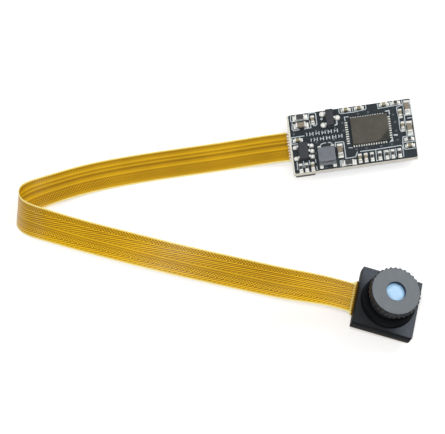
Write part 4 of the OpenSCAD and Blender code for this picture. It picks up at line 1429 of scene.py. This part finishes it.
class CAMMOD_OT_holder(bpy.types.Operator):
    """Makes the lens holder: a square base, a chamber with its filter shelf, and a threaded boss"""

    bl_idname = "cammod.holder"
    bl_label = "Lens holder"

    def execute(self, context):
        look = context.scene.cammod_head
        edge, depth = look.edge / MM, look.thread / MM
        half = HEAD_HALF
        root = 0.1
        outside = [
            square_ring(half - edge, 0.12, HOLDER_Z),
            square_ring(half - edge * 0.3, 0.15, HOLDER_Z + edge * 0.3),
            square_ring(half, 0.15, HOLDER_Z + edge),
            square_ring(half, 0.15, BASE_TOP - edge),
            square_ring(half - edge * 0.3, 0.15, BASE_TOP - edge * 0.3),
            square_ring(half - edge, 0.12, BASE_TOP),
            round_ring(BOSS_R + root, BASE_TOP),
            round_ring(BOSS_R + root * 0.3, BASE_TOP + root * 0.3),
            round_ring(BOSS_R, BASE_TOP + root),
            round_ring(BOSS_R, BOSS_TOP - BOSS_CHAMFER - 0.06),
            round_ring(BOSS_R - 0.04, BOSS_TOP - BOSS_CHAMFER + 0.04),
            round_ring(BOSS_R - BOSS_CHAMFER + 0.04, BOSS_TOP - 0.04),
            round_ring(BOSS_R - BOSS_CHAMFER - 0.04, BOSS_TOP),
            round_ring(BORE_R + 0.12, BOSS_TOP),
            round_ring(BORE_R + 0.01, BOSS_TOP - 0.1),
        ]
        thread = thread_rings(BORE_R + depth, depth, BASE_TOP + 0.05, BOSS_TOP - 0.15, BEARINGS)[::-1]
        inside = [
            round_ring(BORE_R, BASE_TOP),
            round_ring(2.66, BASE_TOP),
            round_ring(2.6, BASE_TOP - 0.06),
            round_ring(2.6, 1.65),
            square_ring(3.25, 0.2, 1.65),
            square_ring(3.25, 0.2, 1.35),
            square_ring(4.0, 0.25, 1.35),
            square_ring(4.0, 0.25, HOLDER_Z),
        ]
        bm = bmesh.new()
        tube_of(bm, outside + thread + inside, capped=False)
        bm.normal_update()
        # The base's top takes the painted sheen, every other face the painted shade
        for face in bm.faces:
            middle = face.calc_center_median()
            on_top = abs(middle.z - BASE_TOP) < edge * 0.6 and middle.xy.length > BOSS_R + root
            face.material_index = 0 if on_top else 1
        finishes = [holder_top_painted_sheen(look), wall_painted_shade(look)]
        piece("holder_moulding", bm, finishes, ["lens_holder"], place=HEAD, smooth=30)
        bm = bmesh.new()
        soft_plate(bm, (HEAD_SIDE - 0.1, HEAD_SIDE - 0.1, 0.2), 0.2, 0.03, (0, 0, 0))
        # Glass and polyimide laminate behind the flex: matt amber-brown with a woven cast
        laminate = mottled(
            "amber_laminate", linear("3E2C14"), linear("5E4720"), 0.4, bump=0.01, bump_grain=0.25, rough=(0.5, 0.65)
        )
        piece("stiffener_plate", bm, [laminate], ["head_stiffener"], place=HEAD)
        return {"FINISHED"}


class CAMMOD_OT_barrel(bpy.types.Operator):
    """Makes the focusing barrel: its thread, its knurled head, its front face and its stepped bore"""

    bl_idname = "cammod.barrel"
    bl_label = "Lens barrel"

    def execute(self, context):
        look = context.scene.cammod_head
        depth, teeth = look.thread / MM, look.teeth
        count = teeth * 12
        bearings = [TURN * k / count for k in range(count)]
        pitch_angle = TURN / teeth

        def knurl_ring(inset, z):
            """A ring round the knurl, drawn in by an inset."""
            ring = []
            middle = KNURL_R - TOOTH_R
            for a in bearings:
                off = (a + pitch_angle / 2) % pitch_angle - pitch_angle / 2
                across = middle * math.sin(off)
                radius = KNURL_ROOT_R
                if abs(across) < TOOTH_R:
                    radius = max(radius, middle * math.cos(off) + math.sqrt(TOOTH_R**2 - across**2))
                radius -= inset
                ring.append(Vector((radius * math.cos(a), radius * math.sin(a), z)))
            return ring

        def circle(radius, z):
            """A plain ring with a point on each bearing."""
            return round_ring(radius, z, bearings)

        rim = FRONT_Z - FRONT_RIM
        rings = [
            circle(SEAT_R[2] + 0.06, BARREL_Z),
            circle(BARREL_R - 0.12, BARREL_Z),
            circle(BARREL_R - 0.02, BARREL_Z + 0.1),
            *thread_rings(BARREL_R, depth, BARREL_Z + 0.12, KNURL_Z - 0.2, bearings),
            circle(BARREL_R, KNURL_Z - 0.18),
            circle(BARREL_R, KNURL_Z - 0.05),
            circle(BARREL_R + 0.05, KNURL_Z),
            knurl_ring(0.1, KNURL_Z),
            knurl_ring(0.03, KNURL_Z + 0.03),
            knurl_ring(0, KNURL_Z + 0.1),
            knurl_ring(0, rim - 0.06),
            knurl_ring(0.01, rim - 0.02),
            knurl_ring(0.03, rim),
            circle(KNURL_ROOT_R - 0.04, rim + 0.01),
            circle(KNURL_ROOT_R - 0.05, FRONT_Z - 0.05),
            circle(KNURL_ROOT_R - 0.07, FRONT_Z - 0.012),
            circle(KNURL_ROOT_R - 0.12, FRONT_Z),
            circle(2.4, FRONT_Z - 0.005),
            circle(APERTURE_R + 0.16, FRONT_Z - 0.01),
            circle(APERTURE_R + 0.08, FRONT_Z - 0.04),
            circle(APERTURE_R + 0.04, FRONT_Z - 0.12),
            circle(APERTURE_R, SEAT_FRONT[0]),
            circle(SEAT_R[0], SEAT_FRONT[0]),
            circle(SEAT_R[0], SEAT_FRONT[1]),
            circle(SEAT_R[1], SEAT_FRONT[1]),
            circle(SEAT_R[1], SEAT_FRONT[2]),
            circle(SEAT_R[2], SEAT_FRONT[2]),
            circle(SEAT_R[2], BARREL_Z + 0.06),
        ]
        bm = bmesh.new()
        tube_of(bm, rings, capped=False)
        for face in bm.faces:
            middle = face.calc_center_median()
            radius = math.hypot(middle.x, middle.y)
            if middle.z > rim + 0.02 and radius > APERTURE_R + 0.1:
                face.material_index = 1
            elif APERTURE_R - 0.01 < radius < APERTURE_R + 0.1 and middle.z > SEAT_FRONT[0]:
                face.material_index = 2
        body = barrel_finish(
            "turned_black", shade(look.barrel, 0.75), shade(look.barrel, 1.25), (0.36, 0.5), 0.1
        )
        # The front face is the same black plastic given a grey copy of its colour: painted sheen of the light that it
        # reflects
        face = barrel_finish("front_face_painted_sheen", linear("666C70"), linear("767C81"), (0.5, 0.6))
        # The aperture's wall is a dark blue-black copy of the plastic's colour: painted shade of the recess behind the
        # rim
        throat = barrel_finish("throat_painted_shade", linear("0B1020"), linear("15203C"), (0.3, 0.4))
        piece("barrel_turning", bm, [body, face, throat], ["lens_barrel"], place=HEAD, body="barrel", smooth=30)
        return {"FINISHED"}


def glass_finish(name, low, high, clear, rough=0.04):
    """Polished optical glass with a coating: a clean shine over a cool tint."""
    material, tree, shader = surface(
        name, Roughness=rough, IOR=1.6, Specular_IOR_Level=0.3, Transmission_Weight=clear, Coat_Weight=0.05
    )
    place = node(tree, "ShaderNodeTexCoord").outputs["Object"]
    cloud = node(tree, "ShaderNodeTexNoise", {"Vector": place, "Scale": per_mm(2.5), "Detail": 2.0})
    mix = node(tree, "ShaderNodeMix", {"Factor": cloud.outputs["Fac"], "A": low, "B": high}, data_type="RGBA")
    tree.links.new(mix.outputs["Result"], shader.inputs["Base Color"])
    return material


def lens_profile(radius, back, front, front_r, back_r):
    """Half the outline of a lens: a domed front and, where back_r is given, a hollow back."""
    dome_z = front - front_r
    points = []
    for k in range(13):
        r = radius * k / 12
        points.append((r, dome_z + math.sqrt(front_r**2 - r**2)))
    points.append((radius, back))
    if back_r:
        rim = math.sqrt(back_r**2 - (back_r - 0.18) ** 2)
        for k in range(9):
            r = rim * (1 - k / 8)
            points.append((r, back - back_r + 0.18 + math.sqrt(max(0, back_r**2 - r**2))))
    else:
        points.append((0, back))
    return points


class CAMMOD_OT_optics(bpy.types.Operator):
    """Makes the glass stack: three lenses, the stop, the spacer and the retainer"""

    bl_idname = "cammod.optics"
    bl_label = "Glass stack"

    def execute(self, context):
        look = context.scene.cammod_head
        front_z = SEAT_FRONT[0] + APERTURE_R**2 / 16 - 0.03
        gap = 0.04
        stop_z = SEAT_FRONT[1] + 0.03
        spacer_z = SEAT_FRONT[2] - 0.4
        rear_z = spacer_z - 0.75
        pale = [min(1, c * 1.15) for c in look.glass[:3]] + [1]
        shades = {
            "front_lens": glass_finish("coated_front_glass", look.glass, pale, 0.0),
            "middle_lens": glass_finish("coated_inner_glass", linear("8FC2E0"), linear("B4DAEE"), 0.6),
        }
        shades["rear_lens"] = shades["middle_lens"]
        for name, profile in (
            ("front_lens", lens_profile(SEAT_R[0] - gap, stop_z + 0.12, front_z, 8, 3)),
            ("middle_lens", lens_profile(SEAT_R[1] - gap, SEAT_FRONT[2] + 0.03, SEAT_FRONT[1] - 0.03, 9, 0)),
            ("rear_lens", lens_profile(SEAT_R[2] - gap, rear_z, spacer_z, 7, 5)),
        ):
            bm = bmesh.new()
            turned(bm, profile, 96)
            piece(name + "_glass", bm, [shades[name]], [name], HEAD, "glass_stack")
        # Anodised and blackened foil and rings: deep matt black with a faint turned grain
        black = mottled("blackened_metal", linear("0C0C0E"), linear("1A1A1D"), 0.3, bump=0.003, rough=(0.5, 0.65))
        for name, outer, inner, back, front in (
            ("aperture_stop", SEAT_R[0] - gap, APERTURE_R / 2, stop_z, stop_z + 0.12),
            ("spacer_ring", SEAT_R[2] - gap, SEAT_R[2] - 0.7, spacer_z, SEAT_FRONT[2] - 0.03),
            ("lens_retainer", SEAT_R[2] - gap, SEAT_R[2] - 0.6, rear_z - 0.35, rear_z),
        ):
            e = 0.02
            bm = bmesh.new()
            profile = [
                (inner + e, back), (outer - e, back), (outer, back + e), (outer, front - e),
                (outer - e, front), (inner + e, front), (inner, front - e), (inner, back + e), (inner + e, back),
            ]
            turned(bm, profile, 96)
            piece(name + "_ring", bm, [black], [name], HEAD, "glass_stack")
        return {"FINISHED"}


class CAMMOD_OT_sensor(bpy.types.Operator):
    """Makes what the holder covers: the sensor, its glass, its capacitors and the filter"""

    bl_idname = "cammod.sensor"
    bl_label = "Sensor"

    def execute(self, context):
        silicon = mottled(
            # Polished silicon under its colour filters: dark with a green-violet cast from the pixel rows
            "polished_silicon", linear("141A28"), linear("2C3A4E"), 0.8, rough=(0.1, 0.2), Metallic=0.3, Coat_Weight=0.6
        )
        bm = bmesh.new()
        soft_plate(bm, (5.6, 5.2, 0.4), 0.05, 0.01, (0, 0, HOLDER_Z))
        piece("sensor_die", bm, [silicon], ["image_sensor"], place=HEAD)
        bm = bmesh.new()
        soft_plate(bm, (5.6, 5.2, 0.4), 0.08, 0.03, (0, 0, HOLDER_Z + 0.4))
        clear = glass_finish("clear_cover_glass", linear("D6EEF0"), linear("EAF7F8"), 0.9, 0.02)
        piece("sensor_cover", bm, [clear], ["sensor_glass"], place=HEAD)
        bm = bmesh.new()
        soft_plate(bm, (6.4, 6.4, 0.3), 0.1, 0.03, (0, 0, 1.35))
        cyan = glass_finish("infrared_filter", linear("7FC9C4"), linear("9ADAD8"), 0.75, 0.02)
        piece("filter_plate", bm, [cyan], ["ir_filter"], place=HEAD)
        bodies, ends = bmesh.new(), bmesh.new()
        beside = (5.6 + 8.0) / 4
        for x, y, upright in ((beside, -1.6, True), (beside, 1.6, True), (-beside, 0, True)):
            block(bodies, (1 - END_BAND, 0.5, 0.5), (x, y, HOLDER_Z), 0.035, turned=upright)
            for sign in (-1, 1):
                block(ends, (END_BAND, 0.54, 0.53), (x, y + sign * 0.39, HOLDER_Z), 0.05, turned=upright)
        piece(
            "sensor_caps", bodies, [bpy.data.materials["fired_ceramic_tan"]], ["sensor_capacitors"], place=HEAD
        )
        piece(
            "sensor_cap_ends", ends, [shared("plated_end", plated_end)], ["sensor_capacitor_ends"], place=HEAD
        )
        return {"FINISHED"}


# ---------------------------------------------------------------- the stage


class CAMMOD_OT_stage(bpy.types.Operator):
    """Sets the pale floor, the soft lamps, the world and the camera"""

    bl_idname = "cammod.stage"
    bl_label = "Stage"

    def execute(self, context):
        look = context.scene.cammod_stage
        scene = context.scene
        bm = bmesh.new()
        bmesh.ops.create_grid(bm, x_segments=1, y_segments=1, size=3)
        bmesh.ops.translate(bm, vec=(0, 0, -0.00005), verts=bm.verts)
        mesh = bpy.data.meshes.new("floor")
        bm.to_mesh(mesh)
        bm.free()
        floor = bpy.data.objects.new("floor", mesh)
        scene.collection.objects.link(floor)
        # Matt white card: it scatters evenly, and the light that the camera sees from it is topped up
        # to white, so that only the object's shadow is darker
        material, tree, shader = surface("white_card", Roughness=0.95)
        shader.inputs["Base Color"].default_value = look.floor
        shader.inputs["Specular IOR Level"].default_value = 0.1
        rays = node(tree, "ShaderNodeLightPath")
        seen = node(
            tree, "ShaderNodeMath", {0: rays.outputs["Is Camera Ray"], 1: rays.outputs["Is Glossy Ray"]}, operation="ADD"
        ).outputs[0]
        seen = node(
            tree, "ShaderNodeMath", {0: seen, 1: rays.outputs["Is Transmission Ray"]}, operation="ADD", use_clamp=True
        ).outputs[0]
        top_up = node(tree, "ShaderNodeMath", {0: seen, 1: 0.37}, operation="MULTIPLY").outputs[0]
        glow = node(tree, "ShaderNodeEmission", {"Color": (1, 1, 1, 1), "Strength": top_up})
        both = node(tree, "ShaderNodeAddShader", {0: shader.outputs[0], 1: glow.outputs[0]})
        tree.links.new(both.outputs[0], tree.nodes["Material Output"].inputs["Surface"])
        mesh.materials.append(material)
        world = bpy.data.worlds.new("studio")
        scene.world = world
        world.use_nodes = True
        sky = world.node_tree
        rays = node(sky, "ShaderNodeLightPath")
        seen = node(
            sky, "ShaderNodeMath", {0: rays.outputs["Is Camera Ray"], 1: rays.outputs["Is Glossy Ray"]}, operation="ADD"
        ).outputs[0]
        seen = node(
            sky, "ShaderNodeMath", {0: seen, 1: rays.outputs["Is Transmission Ray"]}, operation="ADD", use_clamp=True
        ).outputs[0]
        level = node(sky, "ShaderNodeMapRange", {"Value": seen, "To Min": look.sky, "To Max": 1.0}, clamp=True)
        back = sky.nodes["Background"]
        back.inputs["Color"].default_value = (1, 1, 1, 1)
        sky.links.new(level.outputs["Result"], back.inputs["Strength"])
        for name, spot, aim, size, power in (
            ("key_softbox", (0.002, -0.117, 0.434), (-0.02, 0, 0), 0.05, look.lamp),
            ("right_softbox", (0.3, 0.18, 0.36), (-0.01, -0.01, 0), 0.25, look.lamp * 1.3),
            ("left_softbox", (-0.5, 0.12, 0.25), (-0.02, 0, 0), 0.15, look.lamp * 0.6),
        ):
            lamp = bpy.data.lights.new(name, "AREA")
            lamp.energy = power
            lamp.size = size
            holder = bpy.data.objects.new(name, lamp)
            scene.collection.objects.link(holder)
            holder.location = spot
            holder.rotation_euler = (Vector(aim) - holder.location).to_track_quat("-Z", "Y").to_euler()
        camera = bpy.data.objects.new("camera", bpy.data.cameras.new("camera"))
        scene.collection.objects.link(camera)
        right = Vector((0.98796, -0.10810, -0.11063))
        up = Vector((0.13865, 0.93596, 0.32363))
        back = Vector((0.06856, -0.33508, 0.93969))
        turn = Matrix((right, up, back)).transposed().to_4x4()
        camera.matrix_world = Matrix.Translation(Vector((6.98, -138.58, 404.07)) * MM) @ turn
        camera.data.lens = 215.6
        camera.data.sensor_width = 36
        camera.data.clip_start = 0.01
        camera.data.clip_end = 100
        scene.camera = camera
        scene.view_settings.view_transform = "Standard"
        return {"FINISHED"}


OPERATORS = (
    CAMMOD_OT_flex,
    CAMMOD_OT_board,
    CAMMOD_OT_legend,
    CAMMOD_OT_solder,
    CAMMOD_OT_processor,
    CAMMOD_OT_inductor,
    CAMMOD_OT_packages,
    CAMMOD_OT_chips,
    CAMMOD_OT_underside,
    CAMMOD_OT_holder,
    CAMMOD_OT_barrel,
    CAMMOD_OT_optics,
    CAMMOD_OT_sensor,
    CAMMOD_OT_stage,
)
LOOKS = {"cammod_flex": FlexLook, "cammod_board": BoardLook, "cammod_head": HeadLook, "cammod_stage": StageLook}


class CAMMOD_PT_panel(bpy.types.Panel):
    """Lists the operators and the sizes and colours that they use"""

    bl_idname = "CAMMOD_PT_panel"
    bl_label = "Camera module"
    bl_space_type = "VIEW_3D"
    bl_region_type = "UI"
    bl_category = "Camera Module"

    def draw(self, context):
        column = self.layout.column()
        for group in LOOKS:
            look = getattr(context.scene, group)
            column.label(text=look.rna_type.description)
            for prop in look.bl_rna.properties:
                if prop.identifier not in ("name", "rna_type"):
                    column.prop(look, prop.identifier)
        for operator in OPERATORS:
            column.operator(operator.bl_idname)


def register():
    for cls in (*LOOKS.values(), *OPERATORS, CAMMOD_PT_panel):
        bpy.utils.register_class(cls)
    for name, cls in LOOKS.items():
        setattr(bpy.types.Scene, name, PointerProperty(type=cls))


def unregister():
    for name in LOOKS:
        delattr(bpy.types.Scene, name)
    for cls in reversed((*LOOKS.values(), *OPERATORS, CAMMOD_PT_panel)):
        bpy.utils.unregister_class(cls)


def main():
    register()
    for operator in OPERATORS:
        group, name = operator.bl_idname.split(".")
        getattr(getattr(bpy.ops, group), name)()


if __name__ == "__main__":
    main()
